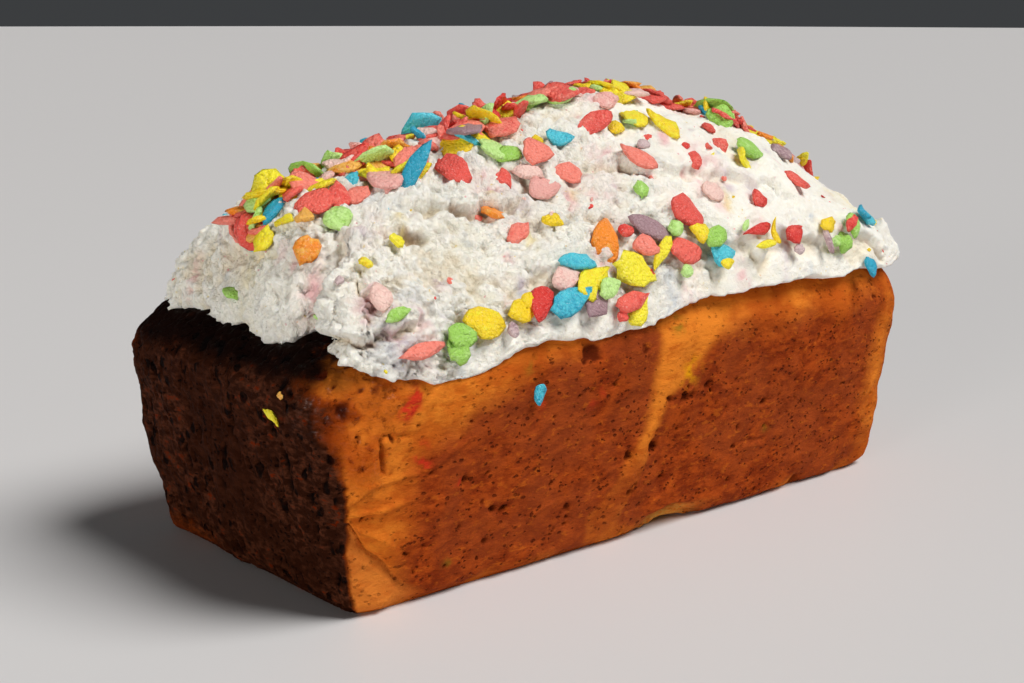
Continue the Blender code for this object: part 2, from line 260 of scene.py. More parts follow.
def near_corner(z):
    """X and Y of the near corner at each height: the wall leans out as the tin does."""
    return [-(low + z / TIN_HEIGHT * (wide - low)) / 2 for low, wide in zip(BASE, LOAF)]


def rounded(u, v, power):
    """Points of a square, pulled in so that |u|^power + |v|^power is constant round each ring."""
    size = (abs(u) ** power + abs(v) ** power) ** (1 / power)
    pull = np.maximum(abs(u), abs(v)) / np.maximum(size, 1e-9)
    return u * pull, v * pull


def crust_height(x, y):
    """Top of the crust: a shoulder, the root of 1 - out^8, and a dome, 1 - out^2, where out is
    the share of the way to the widest line."""
    along, across = abs(x) / (LOAF[0] / 2), abs(y) / (LOAF[1] / 2)
    out = np.minimum((along**TOP_POWER + across**TOP_POWER) ** (1 / TOP_POWER), 1)
    return TIN_HEIGHT + SHOULDER_RISE * np.sqrt(1 - out**8) + CROWN_RISE * (1 - out**2)


def crust_reach(height):
    """How far out, as a share of the half size, the crust has this height."""
    share = np.linspace(1, 0, 400)
    return np.interp(height, crust_height(share * LOAF[0] / 2, 0 * share), share)


def side_mix(u, v, front, right, back, left):
    """A value of its own for each side of the loaf, blended round the corners."""
    weights = [np.clip(w, 0, 1) ** 8 for w in (-v, u, v, -u)]
    mixed = sum(w * value for w, value in zip(weights, (front, right, back, left)))
    return mixed / np.maximum(sum(weights), 1e-9)


# %% [markdown]
# ## The fold and the pleated corner
# The tin's paper lining creased the wall: a slanting fold crosses the long side, and at the near
# corner the skin is pleated over a smooth tab. Sculpting would do this by hand. Here each crease
# is a function of the place, so that it can be moved by changing a number.

# %% Fold, tab and pleats


def fold_shape(x, z):
    """The slanting fold on the front: a ridge whose foot is at x = -20 and that leans right."""
    return hump(x, -20 + 0.42 * z, 4.5) * smooth_step(z, 4, 15)


def tab_line(x):
    """Height of the curved edge under which the near corner's smooth tab lies."""
    return 5 + 21 * np.clip((-83 - x) / 22, 0, 1) ** 1.4 + 0.9 * noise(x, 0, 0, 5, 35)


def corner_pleats(x, y, z):
    """Creases that fan out from one spot up the near corner, and the step down to the tab."""
    turn = np.arctan2(29 - z, np.maximum(x + 108, 0) + 2)
    away = np.hypot(x + 108, z - 29)
    fan = smooth_step(away, 0.5, 5) * (1 - smooth_step(away, 12, 34)) * smooth_step(-y, 40, 46)
    below = tab_line(x) - z
    on_tab = smooth_step(-x, 80, 90) * smooth_step(-y, 42, 45) * smooth_step(below, -0.5, 0.5)
    pleats = 1.2 * (1 - abs(np.sin(turn * 4 + 2.2 * noise(x, y, z, 11, 31)))) ** 3
    creases = 0.5 * (1 - abs(np.sin(0.28 * (x + 1.6 * z) + 2 * noise(x, y, z, 9, 36)))) ** 3
    return fan * pleats * (1 - on_tab) + on_tab * (creases - 1.2 * hump(below, 0, 6))


# %% [markdown]
# ## Holes in the wall
# Bubbles that burst on the tin left cavities. The ones that show best are placed one by one, and
# small pores are drawn everywhere. On the dark end they are larger and drawn out upwards.

# %% Cavities and pores
CAVITIES = (  # on the front: place along X, height, radius, depth
    (-31, 58, 2.3, 2.4),
    (-34, 56, 1.2, 1.6),
    (-11, 56, 1.2, 1.4),
    (0, 40, 1.2, 1.4),
    (7, 40, 1.4, 1.6),
    (10, 40, 1.0, 1.2),
    (16, 42, 1.4, 1.6),
    (43, 32, 1.3, 1.6),
    (-4, 27, 1.7, 2.0),
    (-14, 26, 1.2, 1.5),
    (32, 26, 0.9, 1.1),
    (-22, 48, 1.0, 1.2),
    (94, 58, 1.2, 1.5),
    (-12, 15, 1.1, 1.2),
    (-35, 15, 1.1, 1.3),
    (-95, 46, 0.9, 1.4),
    (-62, 21, 1.2, 1.5),
    (-58, 20, 1.1, 1.4),
    (-63, 12, 1.1, 1.2),
    (-72, 31, 0.9, 1.2),
)


def wall_pits(points):
    """How deep in a hole each point lies, from 0 to 1."""
    x, y, z = np.moveaxis(points, -1, 0)
    front, end = smooth_step(-y, 36, 42), smooth_step(-x, 96, 101)
    ragged = stirred(points, 1.6, 0.8, 45)
    deepest = 0.6 * pores(ragged * np.array((0.75, 1, 1)), 3.6, 50, (0.06, 0.22), 0.75)
    for spot_x, spot_z, radius, depth in CAVITIES:
        away = np.hypot((ragged[..., 0] - spot_x) / 1.35, ragged[..., 2] - spot_z) / radius
        deepest = np.maximum(deepest, front * depth / 2.4 * np.exp(-(away**4)))
    # The groove under the tab's edge: a slight dip that, through the pit mark, also paints a
    # contact shadow.
    under_tab = hump(tab_line(x) - z, 0.5, 0.5) * smooth_step(-x, 84, 100) * front
    deepest = np.maximum(deepest, 0.3 * under_tab)
    drawn_out = stirred(points, 3, 1.2, 47) * np.array((1, 1, 0.5))
    large = pores(drawn_out, 4.6, 70, (0.16, 0.42), 0.9)
    small = pores(drawn_out, 2.6, 75, (0.15, 0.4), 0.8)
    past_corner = smooth_step(y - near_corner(z)[1], 2, 6)
    return np.maximum(deepest, end * past_corner * np.maximum(large, small))


# %% [markdown]
# ## All of the wall's relief
# The wall also bows a little, is wrinkled on the right, blistered at the top of the near end, and
# squarer at the far shoulder. Where the loaf was lifted out, the bottom edge lost a chip. Each is
# a term of one sum, which later moves the points along the normal.

# %% Wall relief
WALL_LINES = (  # on the front: from X and height, to X and height, width, height of the crease
    (-98, 46, -97, 38, 0.6, -1.6),
    (-97, 47, -90, 46, 0.5, -1.0),
    (-102, 35, -87, 36, 0.7, 0.7),
    (-84, 36, -72, 42, 0.6, 0.5),
    (35, 21, 45, 20, 0.6, -0.7),
    (35, 19, 46, 18, 0.7, 0.4),
    (-49, 16, -41, 18, 0.6, 0.4),
    (-26, 21, -19, 23, 0.6, 0.4),
)
PIT_DEPTH = 2.3


def wall_relief(points, pits):
    """How far the wall stands out, in mm."""
    x, y, z = np.moveaxis(points, -1, 0)
    bow = 0.9 * noise(x, y, z, 38, 1) + 0.5 * noise(x, y, z, 13, 2)
    front, end = smooth_step(-y, 36, 42), smooth_step(-x, 96, 101)
    torn_edge = 1.2 * noise(x, y, z, 3.5, 34)
    chip = 3.6 * hump(x + torn_edge, 8, 10) * (1 - smooth_step(z + torn_edge, 3, 6))
    nick = 3.0 * hump(x, 66, 2.5) * (1 - smooth_step(z, 1, 5))
    pinch = 0.8 * end * hump(z, 16, 5) * smooth_step(y, 30, 40)
    relief = bow + front * (fold_shape(x, z) - chip - nick) - pinch
    relief = relief + 0.75 * layered(points, 5, 4, 40, stretch=(1.6, 1, 1))
    relief = relief + corner_pleats(x, y, z)
    for *line, width, height in WALL_LINES:
        relief = relief + front * height * line_hump(x, z, *line, width)
    wrinkles = np.sin((x * 0.72 + z) / 2.1 + 3.5 * noise(x, y, z, 14, 33))
    relief = relief + 0.18 * front * wrinkles * smooth_step(x, 30, 60)
    blistered = smooth_step(z, 46, 56) * smooth_step(-x, 60, 100)
    blisters = 1.1 * grains(stirred(points, 4, 1.5, 62), 3.6, 63) * blistered
    shoulder = hump(z, 66, 6) + 0.35 * smooth_step(z, 30, 56)
    square = 4.5 * shoulder * smooth_step(x, 96, 108) * (1 - smooth_step(y, 0, 30))
    return relief + end * layered(points, 7, 4, 60) + blisters + square - PIT_DEPTH * pits


# %% [markdown]
# ## The loaf as one grid of rings
# The rings climb from the middle of the base, round its edge, up the wall and over the crust to
# the top. Columns run once round the loaf. The long side and the dark end that show best get
# most columns, as the relief is finest there.

# %% The loaf's rings
FRONT_COLUMNS, END_COLUMNS, BACK_COLUMNS, FAR_COLUMNS = 340, 170, 130, 80
WALL_RINGS = 84


def square_ring():
    """Points (u, v) round the edge of the square from -1 to 1, anticlockwise from +X."""
    far, back, end, front = (
        np.linspace(-1, 1, count, endpoint=False)
        for count in (FAR_COLUMNS, BACK_COLUMNS, END_COLUMNS, FRONT_COLUMNS)
    )
    u = np.concatenate([np.ones_like(far), -back, -np.ones_like(end), front])
    v = np.concatenate([far, np.ones_like(back), -end, -np.ones_like(front)])
    return u, v


def wall_ring(u, v, z):
    """One level of the wall: it flares upwards, and its base edge is a quarter circle."""
    flare = (z / TIN_HEIGHT) ** 0.8
    tuck = BASE_EDGE * (1 - math.sqrt(1 - (1 - min(z / BASE_EDGE, 1)) ** 2))
    half_x = (BASE[0] + flare * (LOAF[0] - BASE[0])) / 2 - tuck
    half_y = (BASE[1] + flare * (LOAF[1] - BASE[1])) / 2 - tuck
    x, y = rounded(u, v, BASE_POWER + (TOP_POWER - BASE_POWER) * flare)
    return np.stack([x * half_x, y * half_y, np.full_like(x, z)], -1)


def crust_ring(u, v, share):
    x, y = rounded(u, v, TOP_POWER)
    x, y = x * LOAF[0] / 2 * share, y * LOAF[1] / 2 * share
    return np.stack([x, y, crust_height(x, y)], -1)


def loaf_grid():
    """All rings: base, edge, wall and crust, with the relief added along the normals. Also how
    deep in a pit each point lies."""
    u, v = square_ring()
    x, y = rounded(u, v, BASE_POWER)
    flat = np.stack([x * (BASE[0] / 2 - BASE_EDGE), y * (BASE[1] / 2 - BASE_EDGE), 0 * x], -1)
    rings = [flat * share for share in (0.3, 0.7, 0.9, 0.97)]
    edge = BASE_EDGE * (1 - np.cos(np.linspace(0, np.pi / 2, 7)[:-1]))
    levels = np.concatenate([edge, np.linspace(BASE_EDGE, TIN_HEIGHT, WALL_RINGS)])
    rings += [wall_ring(u, v, z) for z in levels]
    turn = np.sin(np.linspace(0, np.pi / 2, 32)[1:])
    rings += [crust_ring(u, v, 1 - 0.22 * (1 - math.sqrt(max(1 - t**2, 0)))) for t in turn]
    rings += [crust_ring(u, v, share) for share in (0.6, 0.4, 0.2)]
    grid = np.stack(rings)
    pits = wall_pits(grid)
    fixed = smooth_step(grid[..., 2], 0.0, 0.6)
    lift = wall_relief(grid, pits) * fixed * (1 - 0.45 * smooth_step(grid[..., 2], 46, 60))
    return grid + normals_of(grid, ring=True) * lift[..., None], pits


# %% [markdown]
# ## The loaf's points
# The grid is worked out once. Then the chip's edge is pulled up in a ragged arch, and the points
# are held inside the solid parts' box.

# %% Build the loaf's points
LOW, HIGH = (np.array(corner) / MM for corner in CAD_BOX)

loaf_points, loaf_pits = loaf_grid()
x, y, z = np.moveaxis(loaf_points, -1, 0)
uneven = 1.6 * noise(x, y, z, 3, 37) + 1.2 * noise(x, y, z, 1.6, 38)
torn_off = hump(x + 2 * uneven, 8, 9) * smooth_step(-y, 38, 45) * (1 - smooth_step(z, 3, 8))
loaf_points[..., 2] += (2.8 + 0.5 * uneven) * torn_off
loaf_points = np.clip(loaf_points, LOW + (0.3, 0.3, 0), HIGH - 0.3)
print("loaf grid", loaf_points.shape[:2], "top at", loaf_points[..., 2].max().round(1), "mm")

# %% [markdown]
# ## Where the crust is dark, pale, glossy or orange
# An oven browns a loaf unevenly. The long side has two dark panels with a paler band along the
# fold between them, and orange edges. One end is scorched, almost black near the top, where it
# shines with sugar, and the sugar turned to caramel on the corner. These areas have places of
# their own, which noise alone can't give, so they are stored in the mesh as marks, with ragged
# borders.

# %% Panels, scorch and pale places
FOLD_LEFT = ((10, 24, 32, 64), (-24, -14, -8, -2))  # heights, and where the pale fold begins
FOLD_RIGHT = ((10, 24, 40, 64), (-18, -8, 0, 26))  # heights, and where it ends


def past_fold(x, z, ragged):
    """How far to the right of the pale fold's left and right border a point lies."""
    shifted = x + 0.4 * ragged
    return shifted - np.interp(z, *FOLD_LEFT), shifted - np.interp(z, *FOLD_RIGHT)


def brown_panels(x, y, z, ragged):
    """Where the long sides are brown: a panel on either side of the pale fold, joined under it
    and ending below the top and before the corners. The far end has a fainter one."""
    height, (past_left, past_right) = z + ragged, past_fold(x, z, ragged)
    left = smooth_step(x + ragged, -97, -84) * (1 - smooth_step(past_left, -3, 2))
    left = left * (1 - smooth_step(height - 0.45 * np.minimum(x + 30, 0), 60, 70))
    right = smooth_step(past_right, -2, 4) * (1 - smooth_step(x + ragged, 88, 102))
    right = right * (1 - smooth_step(height, 51, 64))
    joined = 0.85 * hump(past_left, 4, 9) * (1 - smooth_step(z, 18, 32))
    panel = np.maximum(np.maximum(left, right), joined)
    panel = panel * smooth_step(abs(y), 30, 42) * smooth_step(height, -5, 4)
    far = smooth_step(x, 98, 108) * smooth_step(height, 6, 20) * (1 - smooth_step(height, 44, 62))
    return np.maximum(panel, 0.75 * far)


def scorched_end(x, y, z, ragged, frayed):
    """Where the near end is scorched, where it is black and where caramel lies. The scorch's
    border is measured from the near corner, and the higher up the more ragged it is. The scorch
    is paler at its foot, and a painted glint lightens it along the far top edge."""
    corner_x, corner_y = near_corner(z)
    from_corner = y - corner_y + 0.5 * (corner_x - x)
    climb = smooth_step(z, 36, 56)
    border = 0.8 + 5 * smooth_step(z, 36, 52) + 9 * smooth_step(z, 52, 60)
    past_border = from_corner + (0.2 + 0.5 * climb) * ragged + 5 * climb * frayed - border
    scorch = smooth_step(past_border, -1.2 - 10 * climb, 1.4 + 7 * climb)
    scorch = scorch * smooth_step(-x, 96, 100)
    # Paler towards the foot, and a painted glint of grazing light along the far top edge.
    pale_foot_and_glint = (1 - smooth_step(z + 0.5 * ragged, 1, 13)) * (0.3 + 0.7 * smooth_step(y, 0, 36))
    pale_foot_and_glint = np.maximum(pale_foot_and_glint, smooth_step(y + ragged, 38, 50) * smooth_step(z, 38, 50))
    black = smooth_step(-x, 86, 95) * smooth_step(z + 0.35 * ragged, 57, 61.5)
    black = black * smooth_step(y + ragged + 8 * frayed, -54, -38)
    caramel = smooth_step(-x, 84, 96) * smooth_step(z + 0.5 * ragged, 42, 54)
    caramel = 0.7 * caramel * (1 - smooth_step(from_corner, 10, 24))
    strip = hump(past_border + 3 * frayed, -4, 5) * smooth_step(z, 26, 42)
    caramel = np.maximum(caramel, strip * smooth_step(-x, 90, 98)) * (1 - black)
    return scorch * (1 - 0.35 * pale_foot_and_glint), black, caramel


def pale_places(x, y, z, ragged):
    """Where the front is pale: the smooth tab, and the glow of the near corner and the fold."""
    front = smooth_step(-y, 30, 42)
    past_left, past_right = past_fold(x, z, ragged)
    tab = 0.55 * front * smooth_step(-x, 80, 90) * smooth_step(tab_line(x) - z, -0.5, 0.6)
    corner = smooth_step(-x + 0.5 * ragged, 85, 96) * smooth_step(z + ragged, 22, 38)
    fold = smooth_step(past_left, -3, 3) * (1 - smooth_step(past_right, -3, 4))
    glow = front * np.maximum(corner, fold * smooth_step(z, 18, 32))
    return tab, glow * (1 - tab)


# %% [markdown]
# ## Crumbs baked into the crust
# Bits of flakes were baked into the front and left coloured spots, each a soft bell. With them
# the marks are complete: one value, or one colour, for each point of the mesh.

# %% Marks for the crust
YOLK, CHERRY, MOSS = (0.72, 0.30, 0.006), (0.55, 0.035, 0.012), (0.17, 0.16, 0.012)
CINDER = (0.10, 0.012, 0.003)
BAKED_IN = (  # on the front: place along X, height, radius, strength, colour
    (7, 46, 3.2, 0.9, YOLK),
    (9, 49, 2.4, 0.6, YOLK),
    (-30, 45, 2.2, 0.6, CHERRY),
    (-26, 47, 2.0, 0.5, CHERRY),
    (-74, 31, 1.2, 0.9, CHERRY),
    (-91, 52, 1.8, 1.5, CHERRY),
    (-89, 54, 2.0, 1.5, CHERRY),
    (-87, 56, 1.8, 1.5, CHERRY),
    (-86, 42, 1.6, 1.5, CHERRY),
    (-86, 39, 1.8, 1.5, CHERRY),
    (-85, 37, 1.3, 1.5, CHERRY),
    (45, 24, 1.6, 0.6, MOSS),
    (3, 61, 2.4, 0.8, MOSS),
    (-52, 57, 2.6, 0.5, MOSS),
    (-75, 9, 1.6, 0.5, MOSS),
    (-48, 47, 1.4, 0.6, CHERRY),
    (-99, 59, 2.4, 0.9, CINDER),
    (-93, 61, 2.0, 0.7, CHERRY),
    (-88, 59, 1.4, 0.8, CINDER),
    (-80, 60, 1.8, 0.5, CHERRY),
)


def loaf_marks(points, pits):
    """Values from 0 to 1 for each point, one for each kind of crust, and the spots' colours."""
    x, y, z = np.moveaxis(points, -1, 0)
    ragged, frayed = 9 * layered(points, 15, 5, 80), layered(points, 5, 4, 87)
    scorch, black, caramel = scorched_end(x, y, z, ragged, frayed)
    tab, glow = pale_places(x, y, z, ragged)
    front = smooth_step(-y, 30, 42)
    tint, strength = spots(x + 0.12 * ragged, z, BAKED_IN)
    uneven = smooth_step(layered(points, 2.2, 2, 85), -0.25, 0.2)
    return {
        "panel": brown_panels(x, y, z, ragged),
        "scorch": scorch,
        "black": black,
        "caramel": caramel,
        "pale": tab,
        "glow": glow,
        "crumb": front * hump(x + 0.3 * ragged, 8, 9) * (1 - smooth_step(z + 0.3 * ragged, 4, 7)),
        "pit": pits,
        "baked": np.concatenate([tint, np.ones((len(tint), 1))], 1),
        "stained": np.clip(front * strength * uneven, 0, 1),
    }


# %% [markdown]
# ## The loaf as one closed piece
# The first and last ring are closed by fans of triangles to a pole, so that the mesh has no
# opening. It takes the place of the plain solid loaf.

# %% Build the loaf
rows, columns = loaf_points.shape[:2]
poles = np.array([loaf_points[0].mean(0), loaf_points[-1].mean(0)])
all_points = np.concatenate([loaf_points.reshape(-1, 3), poles])
all_pits = np.concatenate([loaf_pits.ravel(), [0, 0]])
first, last = np.arange(columns), (rows - 1) * columns + np.arange(columns)
fans = np.concatenate(
    [
        np.stack([np.roll(first, -1), first, np.full(columns, rows * columns)], -1),
        np.stack([last, np.roll(last, -1), np.full(columns, rows * columns + 1)], -1),
    ]
)
loaf = make_piece(
    "loaf_crust",
    all_points,
    [grid_faces(rows, columns, ring=True), fans],
    loaf_marks(all_points, all_pits),
    "loaf",
)

# %% [markdown]
# ## The frosting's plain form
# Whipped frosting was heaped on the loaf and pushed about with a spatula. Its ridge runs along
# the middle, low at the dark end and high past the centre. It ends in a thick hem that hangs
# over the long sides and stops short of the dark end. The form is a height over the plan.

# %% The hem's height and reach
HEM_OVERHANG = 0.015  # a share of the loaf's half size


def at_end(u, v, middle, spread):
    """A bell on the near end's side of the plan, round a place v along it."""
    return smooth_step(-u, 0.78, 1) * hump(v, middle, spread)


def hem_height(u, v):
    """Height of the frosting's lowest edge, lowest in a lobe near the front left corner. A notch
    beside the lobe shows the crust, and the mound next to it hangs low."""
    lobe = np.exp(-(((u + 0.74) / 0.2) ** 4))
    front = 63 + 5 * smooth_step(u, -0.15, 0.15) - 5 * lobe
    notch = 4.5 * at_end(u, v, -0.65, 0.09) - 2.0 * at_end(u, v, -0.36, 0.15)
    return side_mix(u, v, front, 68, 64, 67) + 0.9 * noise(u, v, 0, 0.13, 3) + notch


def hem_reach(u, v):
    """How far out the frosting ends, as a share of the loaf's half size."""
    reach = side_mix(u, v, 1.02, 1.03, 1.0, 0.89)
    reach = reach + 0.007 * noise(u, v, 0, 0.17, 4) + 0.004 * noise(u, v, 0, 0.08, 5)
    reach = reach - 0.06 * at_end(u, v, -0.65, 0.08) + 0.035 * at_end(u, v, -0.93, 0.1)
    return np.maximum(reach, crust_reach(hem_height(u, v)) + HEM_OVERHANG)


# %% [markdown]
# ## Its height over the plan
# The ridge line is a curve through a few points. From it the frosting falls to the hem along a
# power curve, and at the hem it turns down like the rim of a superellipse. A subdivided cage
# would give such a form too, but a formula also tells each flake how high the frosting is.

# %% Frosting height
HEM_THICKNESS = 8.0
SLOPE_POWER = 1.9
RIM_POWER = 22  # how sharply the hem turns down
CREST_POINTS = (  # the ridge line: place along X, height
    (-106, 86),
    (-97, 98),
    (-74, 106),
    (-38, 109),
    (0, 119),
    (26, 121),
    (60, 117),
    (88, 107),
    (103, 94),
    (116, 84),
)


def unit_direction(x, y):
    """The point (u, v) on the square's edge in the direction of a plan point, and how far out
    the plan point is."""
    u, v = x / (LOAF[0] / 2), y / (LOAF[1] / 2)
    far = np.maximum(np.maximum(abs(u), abs(v)), 1e-9)
    share = (abs(u) ** TOP_POWER + abs(v) ** TOP_POWER) ** (1 / TOP_POWER)
    return u / far, v / far, share


def crest_height(x):
    """The ridge line, its corners smoothed by averaging over 14 mm."""
    along, heights = zip(*CREST_POINTS)
    offsets = np.linspace(-7, 7, 7)
    return sum(np.interp(x + offset, along, heights) for offset in offsets) / len(offsets)


def frosting_lumps(x, y):
    """The spatula's broad lumps, and the step where a thick layer ends on the left."""
    lumps = 2.2 * noise(x, y, 0, 27, 6) + 1.3 * noise(x, y, 0, 12, 7)
    line = y - (-19 + 7 * np.sin(x / 17))
    step = 2.4 * smooth_step(line, -1, 1.5) * np.exp(-np.maximum(line, 0) / 16)
    return lumps + step * hump(x, -18, 38)


def frosting_height(x, y):
    """From the ridge down to the hem along a rounded slope. The hem's face is nearly upright."""
    u, v, share = unit_direction(x, y)
    hem = hem_height(u, v)
    across = np.clip(abs(y) / (LOAF[1] / 2 * 1.03), 0, 1)
    slope = 1 - across**SLOPE_POWER
    body = hem + HEM_THICKNESS + (crest_height(x) - hem - HEM_THICKNESS) * slope
    body = body + frosting_lumps(x, y)
    out = np.clip(share / hem_reach(u, v), 0, 1)
    return hem + (body - hem) * np.sqrt(1 - out**RIM_POWER)


# %% [markdown]
# ## Ledges and crevices
# Where a thick smear of frosting ends it hangs over the one below like a little cliff. A ledge is
# a step across a line: the uphill side bulges, and a crevice is cut under it, darkened with a
# painted shadow.

# %% Ledges
LEDGES = (  # from x, y to x, y, uphill on the left, then height and depth of the crevice
    (-70, -28, -37, -31, 2.4, 3.4),
    (-79, -33, -70, -36, 1.4, 2.6),
    (-86, -20, -93, -33, 1.4, 1.0),
    (-8, -29, 12, -37, 1.4, 1.2),
    (12, -37, 51, -40, 1.5, 1.2),
    (51, -40, 61, -47, 1.4, 1.0),
    (2, -51, 30, -52, 1.9, 1.2),
    (30, -52, 98, -52, 1.9, 1.2),
    (-30, -33, -12, -42, 1.2, 1.0),
    (-62, -44, -40, -47, 1.0, 1.2),
    (-20, 30, -60, 24, 2.4, 2.0),
    (50, 30, 10, 33, 2.2, 1.8),
)


def beside(x, y, z, start_x, start_y, end_x, end_y):
    """1 along the line from start to end, 0 past its ends, and how far uphill of it a point
    lies. The line is ragged."""
    length = math.hypot(end_x - start_x, end_y - start_y)
    along_x, along_y = (end_x - start_x) / length, (end_y - start_y) / length
    along = (x - start_x) * along_x + (y - start_y) * along_y
    away = (y - start_y) * along_x - (x - start_x) * along_y
    away = away + 1.8 * noise(x, y, z, 6, 90) + 0.8 * noise(x, y, z, 2.2, 92)
    there = smooth_step(along, -4, 4) * (1 - smooth_step(along, length - 4, length + 4))
    return there, away


def ledge(x, y, z, height, depth, *line):
    """A step across a line: a bulge on its uphill side, a crevice below."""
    there, away = beside(x, y, z, *line)
    bulge = height * smooth_step(away, -0.6, 0.8) * np.exp(-np.maximum(away, 0) / 8)
    return there * (bulge - depth * hump(away, -1.1, 0.9))


def crevices(points):
    """Painted shadow in the crevices just under their ledges, in broken lines: 1 in the deep ones.
    """
    x, y, z = np.moveaxis(points, -1, 0)
    dark = np.zeros_like(x)
    for *line, _, depth in LEDGES:
        there, away = beside(x, y, z, *line)
        dark = np.maximum(dark, there * hump(away, -0.2, 0.9) * min(depth / 3, 1))
    return dark * smooth_step(noise(x, y, z, 7, 96), -0.3, 0.2)


# %% [markdown]
# ## The near corner's face
# At the near corner the frosting hangs in a steep mound with a lobe below it. Seen from above its
# relief would be squeezed together, so this part is laid out as seen square on from that corner.

# %% Mound, lip and lobe
WAY_ACROSS = (0.756, -0.654)  # along X and Y, as seen square on from the corner
LIP = ((-62, -55, -48, -36, -29), (67.5, 70, 71.5, 71, 75))  # places across, heights
LUMPS = (  # place across, height, radius, how far it stands out
    (-68, 76, 8.0, 2.6),
    (-52, 78, 6.5, 2.2),
    (-84, 76, 8.0, 1.4),
    (-43, 66, 6.0, 1.4),
    (-32, 66, 7.0, 1.0),
)


def corner_face(x, y, z):
    """Relief seen square on from the near corner, where the mound is steep: broad lumps, and a
    lip with a crevice under it. Below the lip lies the lobe."""
    across = WAY_ACROSS[0] * x + WAY_ACROSS[1] * y
    ragged = z + 1.3 * noise(x, y, z, 5, 180) + 0.7 * noise(x, y, z, 2, 181)
    above = ragged - np.interp(across, *LIP)
    there = smooth_step(across, -64, -60) * (1 - smooth_step(across, -33, -27))
    bulge = 2.2 * smooth_step(above, -0.5, 0.8) * np.exp(-np.maximum(above, 0) / 6)
    relief = there * (bulge - 3.4 * hump(above, -1.2, 1.1))
    for place, height, radius, rise in LUMPS:
        relief = relief + rise * hump(np.hypot(across - place, z - height), 0, radius)
    return relief * smooth_step(-x, 72, 84) * smooth_step(-y, -8, 8)


# %% [markdown]
# ## Torn and pressed frosting
# Close up the frosting is torn and grainy where it was pulled, with round grains, tears, pits and
# crumbs, and smooth with long strokes where the spatula pressed last. One value says how torn a
# place is, and every term of the relief is weighed by it.

# %% Frosting relief
HOLES = (  # small dark pits that show best: x, y, radius, depth
    (-72, -51, 1.5, 3.2),
    (-62, -33, 1.2, 2.0),
    (-74, -36, 1.3, 2.2),
    (21, -43, 0.9, 1.4),
)


def torn(points):
    """1 where the frosting was pulled and torn, 0 where it was pressed smooth: the hem at the
    front and most of the right half."""
    x, y, z = np.moveaxis(points, -1, 0)
    wobble = 14 * noise(x, y, z, 22, 91) + 5 * noise(x, y, z, 8, 93)
    rough = 1 - 0.75 * smooth_step(x + wobble, -14, 26)
    pressed = smooth_step(-y, 52, 55) * smooth_step(x + 0.4 * wobble, -84, -76)
    return rough * (1 - 0.7 * pressed)


def frosting_relief(points):
    """All the fine relief, in mm along the normal: broad swells, lumps, grains, crumbs, less the
    tears and pores, and the strokes, ledges and holes that have places of their own."""
    x, y, z = np.moveaxis(points, -1, 0)
    rough = torn(points)
    stirred_points = stirred(points, 5, 2.4, 101)
    relief = 1.2 * layered(points, 12, 2, 104) + rough * 1.9 * layered(stirred_points, 7, 5, 108)
    relief = relief + rough * 1.0 * (grains(stirred_points, 7.5, 112) - 0.2)
    relief = relief + (0.1 + 0.6 * rough) * (grains(stirred(points, 2, 1.2, 114), 2.6, 116) - 0.2)
    relief = relief + (0.15 + 0.9 * rough) * layered(stirred(points, 1.5, 1.0, 117), 1.7, 2, 118)
    tears = abs(layered(stirred(points, 3, 2.4, 125), 4.2, 2, 127))
    patches = smooth_step(noise(x, y, z, 9, 129), -0.3, 0.3)
    relief = relief - (0.2 + 0.9 * rough) * patches * (1 - smooth_step(tears, 0, 0.16))
    relief = relief - 1.6 * rough * pores(stirred_points, 5.0, 120, (0.1, 0.3), 0.6)
    relief = relief - 0.7 * pores(stirred_points, 6.5, 140, (0.05, 0.15), 0.6)
    strokes = layered(points, 3.4, 3, 150, stretch=(9, 1, 1.4))
    relief = relief + 0.6 * (1 - rough) * strokes + corner_face(x, y, z)
    end_slope = smooth_step(-x, 96, 104) * smooth_step(y, -12, 4) * smooth_step(z, 70, 78)
    relief = relief - 1.6 * end_slope
    for *line, height, depth in LEDGES:
        relief = relief + ledge(x, y, z, height, depth, *line)
    for spot_x, spot_y, radius, depth in HOLES:
        relief = relief - depth * hump(np.hypot(x - spot_x, y - spot_y), 0, radius)
    return relief


# %% [markdown]
# ## The frosting as one sheet
# A square grid is pulled to the loaf's rounded plan, with rows crowded near the hem, whose face
# is upright, and on the front, which shows. The hem's lower edge hangs in ragged scallops.

# %% Lay out the frosting's sheet
FROSTING_COLUMNS, FROSTING_ROWS = 365, 259
HEM_CROWDING, FRONT_CROWDING = 1.7, 0.18  # how the rows crowd near the hem and on the front
HEM_LEVEL = 66.0
SETTLE = 0.7  # the sheet starts this far inside the plain form, and the relief fills it up
FLAKE_ROOM = 1.9  # the front hem stays this far inside the box, so that flakes can lie on it
WISP = (103.0, -48.0, 3.2, 5.0)  # the little peak at the right end: x, y, radius, height


def fringe(x, y):
    """How far the hem's edge hangs below its plain line, in scallops and shreds."""
    rough = torn(np.stack([x, y, np.full_like(x, HEM_LEVEL)], -1))
    scallops = noise(x, y, 0, 9, 170) + 0.8 * noise(x, y, 0, 4, 172)
    scallops = scallops + 0.5 * noise(x, y, 0, 1.8, 174)
    return -(0.715 + 0.65 * rough) * scallops


def sheet_points(u, v):
    """Plan and height of the plain form for grid points (u, v)."""
    level = np.maximum(abs(u), abs(v))
    edge = np.maximum(level, 1e-9)
    out = 1 - (1 - level) ** HEM_CROWDING
    x, y = rounded(u / edge, v / edge, TOP_POWER)
    share = hem_reach(u / edge, v / edge) * out
    x, y = x * LOAF[0] / 2 * share, y * LOAF[1] / 2 * share
    peak = WISP[3] * hump(np.hypot(x - WISP[0], y - WISP[1]), 0, WISP[2])
    hang = fringe(x, y) * smooth_step(out, 0.95, 1)
    return np.stack([x, y, frosting_height(x, y) + peak - hang], -1)


